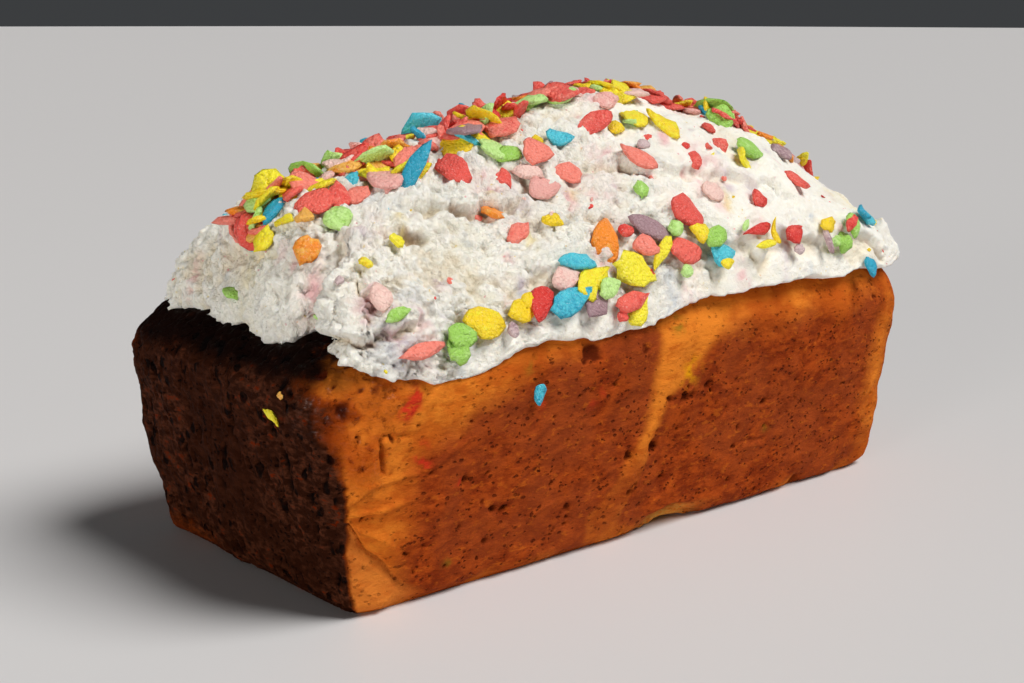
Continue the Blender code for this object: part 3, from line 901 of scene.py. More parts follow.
cross = np.linspace(-1, 1, FROSTING_COLUMNS)
down = np.linspace(-1, 1, FROSTING_ROWS)
sheet_u, sheet_v = np.meshgrid(cross, down - FRONT_CROWDING * (1 - down**2))
plain = sheet_points(sheet_u, sheet_v)
normal = normals_of(plain, ring=False)
lift = frosting_relief(plain) - SETTLE
sheet = plain + normal * lift[..., None]
sheet = np.clip(sheet, LOW + (0.3, FLAKE_ROOM, 0.3), HIGH - 0.3)
print("frosting relief from", lift.min().round(2), "to", lift.max().round(2), "mm")

# %% [markdown]
# ## The hem folded under
# The sheet alone would end in a thin edge. Three more rings follow its border: they turn under
# the hem and run into the crust, so that no edge shows. A fan of triangles inside the loaf closes
# the underside, and the piece has a real thickness everywhere.

# %% Close the hem
TUCKS = ((0.3, 0.5), (0.75, 0.3), (1, -1.0))  # share of the way under the hem, and how deep
FOOTING = 0.012  # how far the last ring lies inside the crust, a share of the loaf's half size


def hem_tuck(u, v, share, sink):
    """A ring under the hem: its share of the way to where the crust is met, and how deep it lies
    below the hem's plain line. The scallops fade out along the way."""
    hem, edge_reach = hem_height(u, v), hem_reach(u, v)
    reach = edge_reach * (1 - share) + (crust_reach(hem) - FOOTING) * share
    x, y = rounded(u, v, TOP_POWER)
    x, y = x * LOAF[0] / 2, y * LOAF[1] / 2
    hang = fringe(x * edge_reach, y * edge_reach) * (1 - share)
    return np.stack([x * reach, y * reach, hem - sink - hang], -1)


def border_index(row_count, column_count):
    """Indices of a grid's outer points, anticlockwise from its first point."""
    index = np.arange(row_count * column_count).reshape(row_count, column_count)
    return np.concatenate([index[0, :-1], index[:-1, -1], index[-1, :0:-1], index[:0:-1, 0]])


border = border_index(FROSTING_ROWS, FROSTING_COLUMNS)
ring_u, ring_v = sheet_u.ravel()[border], sheet_v.ravel()[border]
tucks = [hem_tuck(ring_u, ring_v, share, sink) for share, sink in TUCKS]
count = len(border)
sheet_count = FROSTING_ROWS * FROSTING_COLUMNS
loops = [border] + [sheet_count + i * count + np.arange(count) for i in range(len(tucks))]
skirts = [
    np.stack([upper, lower, np.roll(lower, -1), np.roll(upper, -1)], -1)
    for upper, lower in zip(loops, loops[1:])
]
middle = sheet_count + len(tucks) * count
fan = np.stack([loops[-1], np.full(count, middle), np.roll(loops[-1], -1)], -1)
frosting_points = np.concatenate([sheet.reshape(-1, 3), *tucks, [[0, 0, 70.0]]])
under = np.zeros(len(frosting_points) - sheet_count)
# Painted shade: how far the relief sinks the frosting, so that its material darkens the hollows.
hollow_shade = np.concatenate([np.clip(-lift.ravel() / 2.2, 0, 1), under])
roughness = np.concatenate([torn(plain).ravel(), under + 0.5])
# Painted shadow: how dark each crevice is drawn, for the frosting's material.
dark = np.concatenate([crevices(plain).ravel(), under])
covered = f"{(dark > 0.3).mean():.1%}"
print("crevices cover", covered, "of the frosting, darkest", dark.max().round(2))

# %% [markdown]
# ## Stains
# Flakes that touched the frosting bled: it is faintly pink, lilac, blue or yellow in soft spots.
# Each spot is a bell round its middle, and together they give every point a tint and how
# strong it is. The chosen spots are those that show best, and a seeded draw adds small ones.

# %% Stain colours per point
PINK, LILAC = (0.80, 0.30, 0.34), (0.50, 0.38, 0.52)
SLATE, LEMON = (0.40, 0.48, 0.58), (0.84, 0.66, 0.20)
STAIN_SEED, STAIN_COUNT = 5, 260
STAINS = (  # x, y, radius, strength, colour
    (-95, -50, 5, 0.35, SLATE),
    (-90, -54, 4, 0.3, LILAC),
    (-98, -46, 3, 0.35, PINK),
    (-76, -54, 5, 0.25, SLATE),
    (-84, -51, 3, 0.3, PINK),
    (-76, -22, 6, 0.3, SLATE),
    (-84, -46, 3.5, 0.3, SLATE),
    (-36, -33, 5, 0.35, LILAC),
    (-43, -24, 6, 0.35, PINK),
    (26, -43, 4, 0.6, PINK),
    (30, -36, 5, 0.4, PINK),
    (44, -42, 3, 0.35, LILAC),
    (-66, -40, 7, 0.12, LEMON),
    (-58, -36, 4, 0.15, LEMON),
    (90, -40, 5, 0.4, LEMON),
    (-86, -30, 6, 0.2, PINK),
    (-100, -28, 4, 0.3, PINK),
    (-101, -4, 5, 0.4, LEMON),
    (-10, -36, 5, 0.3, PINK),
    (-14, -32, 4, 0.3, PINK),
    (54, -30, 6, 0.2, LEMON),
    (6, -56, 4, 0.4, PINK),
    (-2, -55, 3, 0.5, SLATE),
)


def stains(points):
    """Tint and strength of the frosting's stains: those that show best, and a seeded draw."""
    draw = np.random.default_rng(STAIN_SEED)
    hues = (PINK, PINK, LILAC, SLATE, LEMON)
    extra = []
    for _ in range(STAIN_COUNT):
        place = draw.uniform(-104, 108), draw.uniform(-56, 56)
        radius, weight = draw.uniform(0.9, 2.6), draw.uniform(0.2, 0.6)
        extra.append((*place, radius, weight, hues[draw.integers(len(hues))]))
    tint, strength = spots(points[:, 0], points[:, 1], STAINS + tuple(extra))
    uneven = 0.35 + 1.1 * smooth_step(layered(points, 3, 3, 160), -0.3, 0.3)
    return np.concatenate([tint, np.ones((len(tint), 1))], 1), np.clip(strength * uneven, 0, 0.75)


tint, strength = stains(frosting_points)
sheet_quads = grid_faces(FROSTING_ROWS, FROSTING_COLUMNS, ring=False)
frosting = make_piece(
    "frosting_swirl",
    frosting_points,
    [sheet_quads, np.concatenate(skirts), fan],
    {"tint": tint, "stained": strength, "hollow_shade": hollow_shade, "torn": roughness, "crevice": dark},
    "frosting",
)

# %% [markdown]
# ## The flakes
# The topping is a crisp cereal, tumbled on by hand: puffed ovals, discs, petals and slivers,
# most 7 to 12 mm long, the largest 15 mm. They crowd along the ridge and the front hem. The ones
# that show best are placed one by one. The rest are drawn with a seed and keep their distance
# from each other.

# %% Where each flake lies
FLAKE_SEED = 17
SPACING = 6.2
PLACED_FLAKES = (  # place along X and Y, length, width, heading, colour
    (-65, -21, 15, 4, 35, "blue"),
    (-50, -19, 10, 8, 0, "coral"),
    (-77, -11, 7, 4, 15, "blue"),
    (-89, -23, 8, 7, 80, "green"),
    (-90, -15, 10, 8, 20, "red"),
    (-79, -18, 9, 5, 30, "coral"),
    (-98, -2, 8, 6, 60, "yellow"),
    (-97, -11, 9, 4, 90, "yellow"),
    (-42, 0, 10, 7, 10, "red"),
    (-24, -9, 14, 9, 25, "coral"),
    (-9, -4, 8, 5, 0, "green"),
    (-34, -17, 8, 8, 0, "green"),
    (-25, -24, 9, 7, 100, "coral"),
    (-17, -29, 8, 7, 4, "coral"),
    (-81, -36, 4, 4, 0, "yellow"),
    (-99, -24, 7, 6, 40, "orange"),
    (-93, -46, 8, 5, 80, "pink"),
    (-87, -53, 11, 4, 5, "coral"),
    (-76, -53, 7, 6, 30, "green"),
    (-67, -52, 12, 8, 165, "yellow"),
    (-13, -21, 8, 5, 160, "blue"),
    (0, -20, 11, 6, 10, "coral"),
    (24, -25, 13, 6, 100, "yellow"),
    (0, -40, 5, 4, 70, "green"),
    (11, -46, 12, 9, 156, "coral"),
    (43, -45, 6, 5, 90, "red"),
    (65, -41, 9, 4, 110, "red"),
    (74, -28, 8, 7, 0, "mauve"),
    (26, -43, 7, 6, 60, "pink"),
    (-18, -45, 14, 7, 65, "orange"),
    (-4, -47, 11, 6, 136, "mauve"),
    (-14, -51, 14, 9, 157, "yellow"),
    (-33, -48, 11, 4.5, 171, "blue"),
    (-30, -51, 14, 7, 25, "yellow"),
    (-18, -54, 12, 4.5, 12, "red"),
    (-30, -53, 13, 7, 40, "mauve"),
    (-40, -53, 15, 6, 11, "blue"),
    (-49, -52, 12, 5.5, 54, "red"),
    (4, -52, 11, 7, 5, "red"),
    (19, -53, 9, 6, 2, "blue"),
    (35, -51, 11, 3, 5, "red"),
    (51, -52, 8, 5, 20, "red"),
    (67, -51, 7, 4, 10, "yellow"),
    (79, -51, 8, 5, 80, "green"),
    (92, -47, 8, 6, 30, "blue"),
)
STANDING = (-1.0, 4.2)  # the first placed flake's lean and lift: a sliver that stands on one end
SCATTER = (  # how many lie loosely in a part of the plan, and its bounds
    (52, (-97, 92), (-9, 12)),
    (14, (-80, 80), (12, 42)),
    (10, (-60, 96), (-38, -12)),
    (8, (-104, 104), (-50, 50)),
)
TRIES = 30  # places drawn for a flake before one near another is taken
HUES = ("coral", "red", "yellow", "orange", "green", "blue", "pink", "mauve")
SHARES = (0.32, 0.12, 0.22, 0.09, 0.1, 0.06, 0.05, 0.04)


def flake_plan():
    """Rows of x, y, length, width, heading, lean and lift, and each row's colour. The placed
    flakes come first. A scattered one's place is drawn again while it is too near another."""
    draw, paint = np.random.default_rng(FLAKE_SEED), np.random.default_rng(FLAKE_SEED + 2)
    plan, colours = [], []
    for x, y, length, width, heading, colour in PLACED_FLAKES:
        plan.append((x, y, length, width, math.radians(heading), *pose(draw)))
        colours.append(colour)
    plan[0] = (*plan[0][:5], *STANDING)
    taken = [(x, y) for x, y, *_ in PLACED_FLAKES]
    for number, span_x, span_y in SCATTER:
        for _ in range(number):
            for _ in range(TRIES):
                x, y = draw.uniform(*span_x), draw.uniform(*span_y)
                if all(math.hypot(x - a, y - b) > SPACING for a, b in taken):
                    break
            taken.append((x, y))
            length = draw.uniform(7.5, 12)
            width = length * draw.uniform(0.45, 0.95)
            plan.append((x, y, length, width, draw.uniform(0, math.tau), *pose(draw)))
            colours.append(HUES[paint.choice(len(HUES), p=SHARES)])
    return np.array(plan), np.array(colours)


def pose(draw):
    """How far a flake leans, and how far its middle is lifted off the frosting."""
    return draw.normal(0, 0.22), draw.uniform(0.2, 1.3)


# %% [markdown]
# ## Smaller bits between them
# More flakes and broken ones fill the gaps, down to crumbs of 1 mm. They are too many for the
# solid part, and are only made here, from the same kind of rows. On the ridge they lie on top of
# each other, so they lean more and are lifted more.

# %% Broken bits
SHOWN_BITS = (  # place along X and Y, length, width, heading, colour
    (-100, -3, 7, 5, 50, "orange"),
    (-101, -9, 8, 5, 20, "yellow"),
    (-95, -18, 7, 4, 60, "orange"),
    (-53, 2, 7, 4, 30, "yellow"),
    (-31, -20, 7, 6, 10, "green"),
    (-37, -25, 5, 5, 0, "coral"),
    (-92, -39, 4, 3, 0, "yellow"),
    (-99, -38, 4, 2, 50, "mauve"),
    (-77, -54, 7, 6, 40, "green"),
    (-60, -54, 4, 3, 90, "mauve"),
    (-55, -52, 7.5, 6, 3, "yellow"),
    (-52, -51, 5, 4, 50, "yellow"),
    (8, -22, 5, 4, 0, "yellow"),
    (15, -21, 7, 4, 15, "green"),
    (10, -30, 4, 3, 0, "mauve"),
    (-11, -45, 4, 3.5, 155, "red"),
    (-8, -49, 8, 5, 160, "coral"),
    (-4, -51, 10, 3.5, 50, "yellow"),
    (-38, -50, 9, 6, 9, "pink"),
    (-26, -52, 8, 5, 17, "green"),
    (-11, -52, 7, 3.5, 11, "red"),
    (-15, -55, 10, 5, 40, "yellow"),
    (-22, -55, 3.5, 3, 150, "coral"),
    (-31, -38, 4, 2, 60, "pink"),
    (-32, -39, 6, 4.5, 114, "yellow"),
    (-30, -26, 9, 4, 152, "pink"),
    (3, -54, 4, 3.5, 0, "green"),
    (3, -49, 5, 4.5, 0, "green"),
    (19, -54, 5, 3, 0, "yellow"),
    (12, -50, 6.5, 5.5, 153, "yellow"),
    (17, -51, 9, 5, 19, "green"),
    (35, -53, 9, 2, 5, "yellow"),
    (40, -52, 7, 2, 85, "yellow"),
    (51, -54, 4, 3, 0, "mauve"),
    (70, -53, 8, 3, 10, "green"),
    (65, -53, 2, 7, 0, "mauve"),
    (77, -51, 8, 3, 30, "red"),
    (74, -53, 7, 5, 60, "green"),
    (88, -48, 6, 4, 70, "blue"),
    (-104, 4, 6, 3, 80, "green"),
    (-103, -33, 4, 2, 20, "green"),
    (-92, -49, 7, 3, 15, "green"),
    (101, -46, 4, 3, 30, "yellow"),
)
CLEARANCE = 5.5  # between a placed flake and a drawn bit
RIDGE_FOOT = -6  # behind this place along Y they may lie on each other
BITS = (  # number, bounds along X and Y, shortest and longest, spread of lean, highest lift
    (100, (-102, -58), (-20, 12), (6.5, 13), 0.6, 2.8),
    (110, (-60, 62), (-11, 14), (6.5, 13), 0.55, 2.6),
    (74, (56, 106), (-20, 14), (5.5, 11), 0.5, 1.8),
    (64, (-86, 86), (14, 46), (4.0, 9), 0.3, 1.0),
    (9, (24, 96), (-56, -49), (3.5, 8), 0.4, 1.4),
    (14, (-20, 90), (-36, -16), (2.5, 7), 0.3, 0.6),
    (150, (-104, 104), (-55, 50), (0.8, 2.4), 0.3, -0.1),
)


def bit_plan():
    """Rows like the flakes', for the shown and the drawn bits. On the front slope a drawn one
    that would cover a placed one is left out."""
    draw = np.random.default_rng(FLAKE_SEED + 5)
    shown = [
        (x, y, length, width, math.radians(heading), draw.normal(0, 0.25), draw.uniform(0.3, 1.4))
        for x, y, length, width, heading, _ in SHOWN_BITS
    ]
    plan, places = [np.array(shown)], np.array([row[:2] for row in PLACED_FLAKES + SHOWN_BITS])
    for number, span_x, span_y, span, tumble, highest in BITS:
        x, y = draw.uniform(*span_x, number), draw.uniform(*span_y, number)
        length = span[0] + (span[1] - span[0]) * draw.random(number) ** 1.3
        width = length * draw.uniform(0.4, 0.95, number)
        heading, lean = draw.uniform(0, math.tau, number), draw.normal(0, tumble, number)
        lift = draw.uniform(highest - 1, highest, number) * draw.random(number)
        away = np.hypot(x[:, None] - places[:, 0], y[:, None] - places[:, 1]).min(1)
        rows = np.stack([x, y, length, width, heading, lean, lift], -1)
        plan.append(rows[(away > CLEARANCE) | (y > RIDGE_FOOT)])
    plan = np.concatenate(plan)
    drawn = np.array(HUES)[draw.choice(len(HUES), len(plan) - len(shown), p=SHARES)]
    return plan, np.concatenate([[row[-1] for row in SHOWN_BITS], drawn])


# %% [markdown]
# ## One flake's form
# A flake is a puffed disc with a soft rim, an uneven outline, a bubbly face and a slight curl.
# Some are pointed at both ends, like petals. It has only a few dozen faces, because hundreds are
# made. All flakes are computed at once: an array of flakes by rings by sides.

# %% Flake shapes
FLAKE_SIDES, FLAKE_RINGS = 14, 5
FLAKE_THICKNESS = 1.8
FACE_TILT = 0.35  # radians from upright, of the ring nearest to the middle of a face
OUTLINE_WAVES = ((2, 0.06), (3, 0.06), (5, 0.05), (7, 0.04))  # waves round a flake, their strength
LONGER, WIDER = 1.08, 1.15  # make up for what the uneven outline takes away


def flake_forms(plan, draw):
    """Points (flake, ring, side, xyz) in each flake's own axes. The outline is a circle with
    four random waves, tapered towards one end, and pointed where the sine that gives its width
    is raised to a power. The rings run from the upper face over the rim to the lower face: the
    radius is the sine and the height the cosine of an angle, both flattened by a root."""
    count = len(plan)
    turn = np.linspace(0, math.tau, FLAKE_SIDES, endpoint=False)
    tilt = np.linspace(FACE_TILT, np.pi - FACE_TILT, FLAKE_RINGS)
    outline = np.ones((count, FLAKE_SIDES))
    for waves, strength in OUTLINE_WAVES:
        amount = draw.normal(0, strength, (count, 1))
        outline = outline + amount * np.cos(waves * turn + draw.uniform(0, math.tau, (count, 1)))
    outline = outline[:, None] * (1 + 0.025 * draw.normal(size=(count, FLAKE_RINGS, FLAKE_SIDES)))
    radius = np.sin(tilt)[:, None] ** 0.7
    height = np.sign(np.cos(tilt)) * abs(np.cos(tilt)) ** 0.6
    x = outline * radius * np.cos(turn)
    taper = 1 + draw.normal(0, 0.2, (count, 1, 1)) * x
    pointed = draw.uniform(0, 0.8, (count, 1, 1))
    side = np.sign(np.sin(turn)) * abs(np.sin(turn)) ** (1 + pointed)
    y = outline * radius * side * np.clip(taper, 0.4, 1.3)
    bumps = 0.2 * draw.normal(size=x.shape) * radius
    length, width = LONGER * plan[:, 2, None, None], WIDER * plan[:, 3, None, None]
    thick = np.minimum(FLAKE_THICKNESS, 0.45 * width) / 2
    curl, twist = draw.normal(0, 0.15, (count, 1, 1)), draw.normal(0, 0.15, (count, 1, 1))
    z = (height[:, None] + bumps) * thick + (curl * x * x + twist * x * y) * length / 2
    return np.stack([x * length / 2, y * width / 2, z], -1)


def turned(forms, heading, lean):
    """The forms, tipped by their lean and then turned by their heading."""
    x, y, z = np.moveaxis(forms, -1, 0)
    c, s = np.cos(lean)[:, None, None], np.sin(lean)[:, None, None]
    x, z = c * x + s * z, -s * x + c * z
    c, s = np.cos(heading)[:, None, None], np.sin(heading)[:, None, None]
    return np.stack([c * x - s * y, s * x + c * y, z], -1)


# %% [markdown]
# ## Flakes laid on the frosting
# Each flake needs a place on the frosting and three axes there. Blender could snap or scatter
# them over the mesh, but the frosting's formula gives its height and slopes at any place at once.
# The hem is so steep that its slopes are held back there, and its flakes lie flatter and further
# out, or the frosting would swallow their ends.

# %% Lay the flakes
SLOPE_STEP = 1.5
STEEPEST_X, STEEPEST_Y = 0.5, 2.2
HEM_LIFT = 1.4
LEAST_SWELL, MOST_SWELL = -0.5, 3.5  # how far the relief may sink or lift a flake


def unit(vectors):
    return vectors / np.linalg.norm(vectors, axis=-1, keepdims=True)


def slope(x, y, step_x, step_y):
    """Rise of the frosting's plain form over a short way through each place."""
    rise = frosting_height(x + step_x, y + step_y) - frosting_height(x - step_x, y - step_y)
    return rise / (2 * math.hypot(step_x, step_y))


def lay_flakes(plan, forms):
    """The forms turned and set on the frosting. At each place the frosting's slopes give three
    axes: out of it, along X as far as the slope allows, and across both."""
    x, y, _, _, heading, lean, lift = plan.T
    rise_x = np.clip(slope(x, y, SLOPE_STEP, 0), -STEEPEST_X, STEEPEST_X)
    rise_y = np.clip(slope(x, y, 0, SLOPE_STEP), -STEEPEST_Y, STEEPEST_Y)
    out = unit(np.stack([-rise_x, -rise_y, np.ones_like(x)], -1))
    along = unit(np.array([1.0, 0, 0]) - out * out[:, :1])
    axes = np.stack([along, np.cross(out, along), out], 1)
    base = np.stack([x, y, frosting_height(x, y)], -1)
    at_hem = smooth_step(-y, 42, 50)
    lift, lean = lift + HEM_LIFT * at_hem, lean * (1 - 0.8 * at_hem)
    swell = np.clip(frosting_relief(base) - SETTLE, LEAST_SWELL, MOST_SWELL)
    base = base + out * (lift + swell)[:, None]
    return base[:, None, None] + np.einsum("nrsa,nax->nrsx", turned(forms, heading, lean), axes)


# %% [markdown]
# ## Flakes on the walls
# Three flakes stick to the baked walls, one on the front and two on the dark end: flat on the
# crust, half sunk. Their axes are the wall's own: along it, up, and out.

# %% Wall flakes
HALF_FRONT, HALF_END = 113.0, 53.5  # half the front and the end, at the flakes' height
FRONT_FLAKES = (  # place along X, height, length, width, heading, lift, colour
    (-50, 50, 5.5, 3.0, 75, 0.4, "blue"),
)
END_FLAKES = (  # the same, with the place along Y
    (-29, 50, 6.8, 2.0, -26, 0.0, "yellow"),
    (-33, 56, 2.2, 1.8, 0, 0.2, "orange"),
)


def wall_place(u, v, z):
    """The point of the plain wall in the column (u, v) at this height."""
    return wall_ring(np.array([u]), np.array([v]), z)[0]


def on_front(x, z):
    return wall_place(x / HALF_FRONT, -1, z)


def on_end(y, z):
    return wall_place(-1, y / HALF_END, z)


def lay_on_wall(rows, place_of, along, out, draw):
    """Flakes for the rows, each set on the wall's plain form at its place."""
    plan = np.array(
        [
            (0, 0, length, width, math.radians(heading), 0, lift)
            for _, _, length, width, heading, lift, _ in rows
        ]
    )
    axes = np.array([along, (0, 0, 1), out], float)
    base = np.array([place_of(place, height) for place, height, *_ in rows])
    base = base + plan[:, 6:] * axes[2]
    return base[:, None, None] + turned(flake_forms(plan, draw), plan[:, 4], plan[:, 5]) @ axes


# %% [markdown]
# ## All flakes together
# One seeded draw gives all the forms, those on the walls last. A flake that would reach past the
# solid parts' box is pushed inwards by as much.

# %% Draw and place all flakes
draw = np.random.default_rng(FLAKE_SEED + 9)
plan, colours = (np.concatenate(pair) for pair in zip(flake_plan(), bit_plan()))
flakes = lay_flakes(plan, flake_forms(plan, draw))
front_flakes = lay_on_wall(FRONT_FLAKES, on_front, (1, 0, 0), (0, -1, 0), draw)
end_flakes = lay_on_wall(END_FLAKES, on_end, (0, -1, 0), (-1, 0, 0), draw)
flakes = np.concatenate([flakes, front_flakes, end_flakes])
colours = np.concatenate([colours, [row[-1] for row in FRONT_FLAKES + END_FLAKES]])
past_low = np.maximum(LOW + 0.2 - flakes.min(axis=(1, 2)), 0)
past_high = np.maximum(flakes.max(axis=(1, 2)) - HIGH + 0.2, 0)
flakes = flakes + (past_low - past_high)[:, None, None]
pushed = (past_low + past_high).max().round(1)
print(len(flakes), "flakes and bits, pushed inwards by up to", pushed, "mm")

# %% [markdown]
# ## One piece for each colour
# Each flake is closed by two fans of triangles, one over the middle of either face. All flakes of
# a colour are one mesh, and each has a random shade of its own, which its material reads.

# %% Build one piece for each colour


def flake_faces(count):
    """Quads and pole triangles of many flakes, whose points are numbered one after another."""
    points_each = FLAKE_RINGS * FLAKE_SIDES + 2
    quads = grid_faces(FLAKE_RINGS, FLAKE_SIDES, ring=True)[:, ::-1]
    side, last_ring = np.arange(FLAKE_SIDES), (FLAKE_RINGS - 1) * FLAKE_SIDES
    after = (side + 1) % FLAKE_SIDES
    upper, lower = np.full(FLAKE_SIDES, points_each - 2), np.full(FLAKE_SIDES, points_each - 1)
    top = np.stack([upper, side, after], -1)
    foot = np.stack([lower, last_ring + after, last_ring + side], -1)
    start = (np.arange(count) * points_each)[:, None, None]
    fans = np.concatenate([top, foot])
    return (start + quads).reshape(-1, 4), (start + fans).reshape(-1, 3)


flake_pieces = {}
for hue in HUES:
    chosen = flakes[colours == hue]
    shaped = chosen.reshape(len(chosen), -1, 3)
    tips = np.stack([chosen[:, 0].mean(1), chosen[:, -1].mean(1)], 1)
    points = np.concatenate([shaped, tips], 1)
    shade = np.repeat(draw.random(len(chosen)), points.shape[1])
    flake_pieces[hue] = make_piece(
        f"flakes_{hue}",
        points.reshape(-1, 3),
        flake_faces(len(chosen)),
        {"shade": shade},
        "frosting",
    )

# %% [markdown]
# ## Reckoning with shader sockets
# A material is a web of nodes. Drawn in the shader editor it can't be read here, and written node
# by node it is long. So this class wraps a socket and lets Python's signs add the nodes, as in
# a * 2 + b or 1 - mask. Other methods add a soft step, a mix of two colours and a bump.

# %% A socket that can be reckoned with


class Wire:
    """A shader output. Sums and products with numbers, colours or other wires add nodes."""

    def __init__(self, socket):
        self.socket = socket
        self.tree = socket.id_data

    def node(self, kind, settings=None, inputs=None, output=0):
        """Adds a node of this kind with its settings, then the values or wires of its inputs,
        by name or number."""
        made = self.tree.nodes.new("ShaderNode" + kind)
        for name, value in (settings or {}).items():
            setattr(made, name, value)
        for name, value in (inputs or {}).items():
            if isinstance(value, Wire):
                self.tree.links.new(value.socket, made.inputs[name])
            elif isinstance(value, tuple) and made.inputs[name].type == "RGBA":
                made.inputs[name].default_value = (*value, 1)
            else:
                made.inputs[name].default_value = value
        return Wire(made.outputs[output])

    def reckon(self, operation, left, right):
        """Math for numbers, Vector Math where a colour or a vector takes part."""
        kinds = [getattr(getattr(v, "socket", None), "type", "VALUE") for v in (left, right)]
        many = isinstance(left, tuple) or isinstance(right, tuple) or kinds != ["VALUE", "VALUE"]
        if many:
            left, right = [(v,) * 3 if isinstance(v, (int, float)) else v for v in (left, right)]
        kind = "VectorMath" if many else "Math"
        return self.node(kind, {"operation": operation}, {0: left, 1: right})

    def __add__(self, other):
        return self.reckon("ADD", self, other)

    __radd__ = __add__

    def __sub__(self, other):
        return self.reckon("SUBTRACT", self, other)

    def __rsub__(self, other):
        return self.reckon("SUBTRACT", other, self)

    def __mul__(self, other):
        return self.reckon("MULTIPLY", self, other)

    __rmul__ = __mul__

    def step(self, low, high):
        """0 below low, 1 above high, smooth between. With low above high it falls."""
        return self.node(
            "MapRange",
            {"interpolation_type": "SMOOTHSTEP"},
            {"Value": self, "From Min": low, "From Max": high},
        )

    def mix(self, without, full):
        """This wire as the share between two colours."""
        sockets = {0: self, 6: without, 7: full}
        return self.node("Mix", {"data_type": "RGBA"}, sockets, output=2)

    def bump(self, strength, distance):
        """This wire as a height, in a Bump node of this strength and depth in metres."""
        return self.node("Bump", {}, {"Strength": strength, "Distance": distance, "Height": self})


# %% [markdown]
# ## Materials from few words
# All three recipes need the same things: a new material, the values stored with the points, noise
# and scattered cells at a size in mm, and places stirred a little, so that borders are ragged.
# Noise lies in the object's own coordinates, because they need no unwrapping and have no seams.

# %% Material helpers


def new_material(name):
    """A material, its Principled shader, and its Object coordinates as a wire."""
    material = bpy.data.materials.new(name)
    material.use_nodes = True
    tree = material.node_tree
    shader = tree.nodes["Principled BSDF"]
    place = Wire(tree.nodes.new("ShaderNodeTexCoord").outputs["Object"])
    return material, shader, place


def mark(place, name, output=2):
    """A value or colour stored with the mesh: output 2 reads a value, 0 a colour."""
    return place.node("Attribute", {"attribute_name": name}, {}, output)


def grain(place, size, detail=4.0, roughness=0.6, output=0):
    """Blender's noise texture at a size in mm: a value, or a colour with output 1."""
    inputs = {"Vector": place, "Scale": 1 / (size * MM), "Detail": detail, "Roughness": roughness}
    return place.node("TexNoise", {}, inputs, output)


def stir(place, size, amount):
    """The place, pushed about by noise of a size by up to about half an amount, both in mm."""
    return place + (grain(place, size, 2, 0.5, output=1) - 0.5) * (amount * MM)


def cells(place, size):
    """Distance to the nearest of many scattered points, in cells of a size in mm."""
    return place.node("TexVoronoi", {}, {"Vector": place, "Scale": 1 / (size * MM)})


def finish(shader, sockets):
    """Links wires to a shader's sockets, and sets plain values on them."""
    for name, value in sockets.items():
        if isinstance(value, Wire):
            value.tree.links.new(value.socket, shader.inputs[name])
        elif isinstance(value, tuple) and shader.inputs[name].type == "RGBA":
            shader.inputs[name].default_value = (*value, 1)
        else:
            shader.inputs[name].default_value = value


# %% [markdown]
# ## Baked crust: colours and grain
# The crust is orange-brown where the tin held it, red-brown in the dark panels and black where it
# scorched. Noise at several sizes mottles every colour, stretched a little along the loaf. Fine
# pinholes pit all of it, in loose groups: small cells whose middles get painted shade, where a
# broader noise allows them.

# %% Crust colours and grain
ORANGE, AMBER, DEEP_ORANGE = (0.60, 0.136, 0.012), (0.76, 0.220, 0.022), (0.45, 0.078, 0.007)
PANEL, RUST, PAINTED_SHEEN = (0.20, 0.025, 0.004), (0.40, 0.064, 0.008), (0.29, 0.054, 0.013)
SCORCHED, ASH_AND_SHEEN, EMBER = (0.023, 0.005, 0.0015), (0.082, 0.024, 0.011), (0.12, 0.013, 0.001)
BLACK, CARAMEL, TOFFEE = (0.006, 0.0015, 0.0007), (0.34, 0.050, 0.003), (0.14, 0.015, 0.001)
SKIN, CRUMB = (0.66, 0.20, 0.035), (0.80, 0.40, 0.08)
PIT_SHADE, CHARRED_PIT_SHADE = (0.095, 0.012, 0.002), (0.002, 0.001, 0.001)

material, shader, place = new_material("baked crust")
scorch, black = mark(place, "scorch"), mark(place, "black")
caramel, panel = mark(place, "caramel"), mark(place, "panel")
lying = place * (0.5, 0.5, 1.0)
blotch, mottle = grain(place, 20, 3), grain(lying, 3.2, 6, 0.7)
speck, fleck = grain(lying, 0.9, 4, 0.7), grain(stir(lying, 3, 2), 1.9, 3, 0.6)
ragged = stir(place, 1.2, 1.0) * (0.65, 0.65, 1.0)
# Pinholes: dents whose middles get painted shade.
pinholes = cells(ragged, 1.3).step(0.3, 0.14) * grain(place, 5, 2).step(0.46, 0.58)
pinholes = pinholes + cells(ragged, 2.6).step(0.21, 0.1) * grain(place, 11, 2).step(0.46, 0.56)
pinholes = pinholes * (0.4 + 0.6 * panel + 0.4 * scorch)

# %% [markdown]
# ## The long wall
# Each line lays one colour over the last, as far as a mark and a noise allow: orange and amber,
# the brown panels with their rust and a painted greyish sheen, the pale fold, and the caramel
# corner.

# %% Colour of the long wall
base = mottle.step(0.36, 0.64).mix(ORANGE, AMBER)
base = (blotch.step(0.4, 0.64) * 0.85).mix(base, DEEP_ORANGE)
base = (mark(place, "glow") * mottle.step(0.3, 0.55)).mix(base, AMBER)
brown = mottle.step(0.38, 0.62).mix(PANEL, RUST)
# Painted sheen: greyish patches on the brown panels stand in for a soft reflection.
brown = (blotch.step(0.62, 0.4) * 0.5).mix(brown, PAINTED_SHEEN)
brown = (fleck.step(0.57, 0.68) * 0.4).mix(brown, ORANGE)
base = (panel * mottle.step(0.08, 0.4)).mix(base, brown)
base = (mark(place, "pale") * mottle.step(0.2, 0.5)).mix(base, SKIN)
crackle = grain(stir(place, 3, 3), 2.4, 5, 0.65)
base = (caramel * 0.9).mix(base, crackle.step(0.4, 0.62).mix(CARAMEL, DEEP_ORANGE))
base = (caramel * crackle.step(0.46, 0.34) * 0.8).mix(base, TOFFEE)
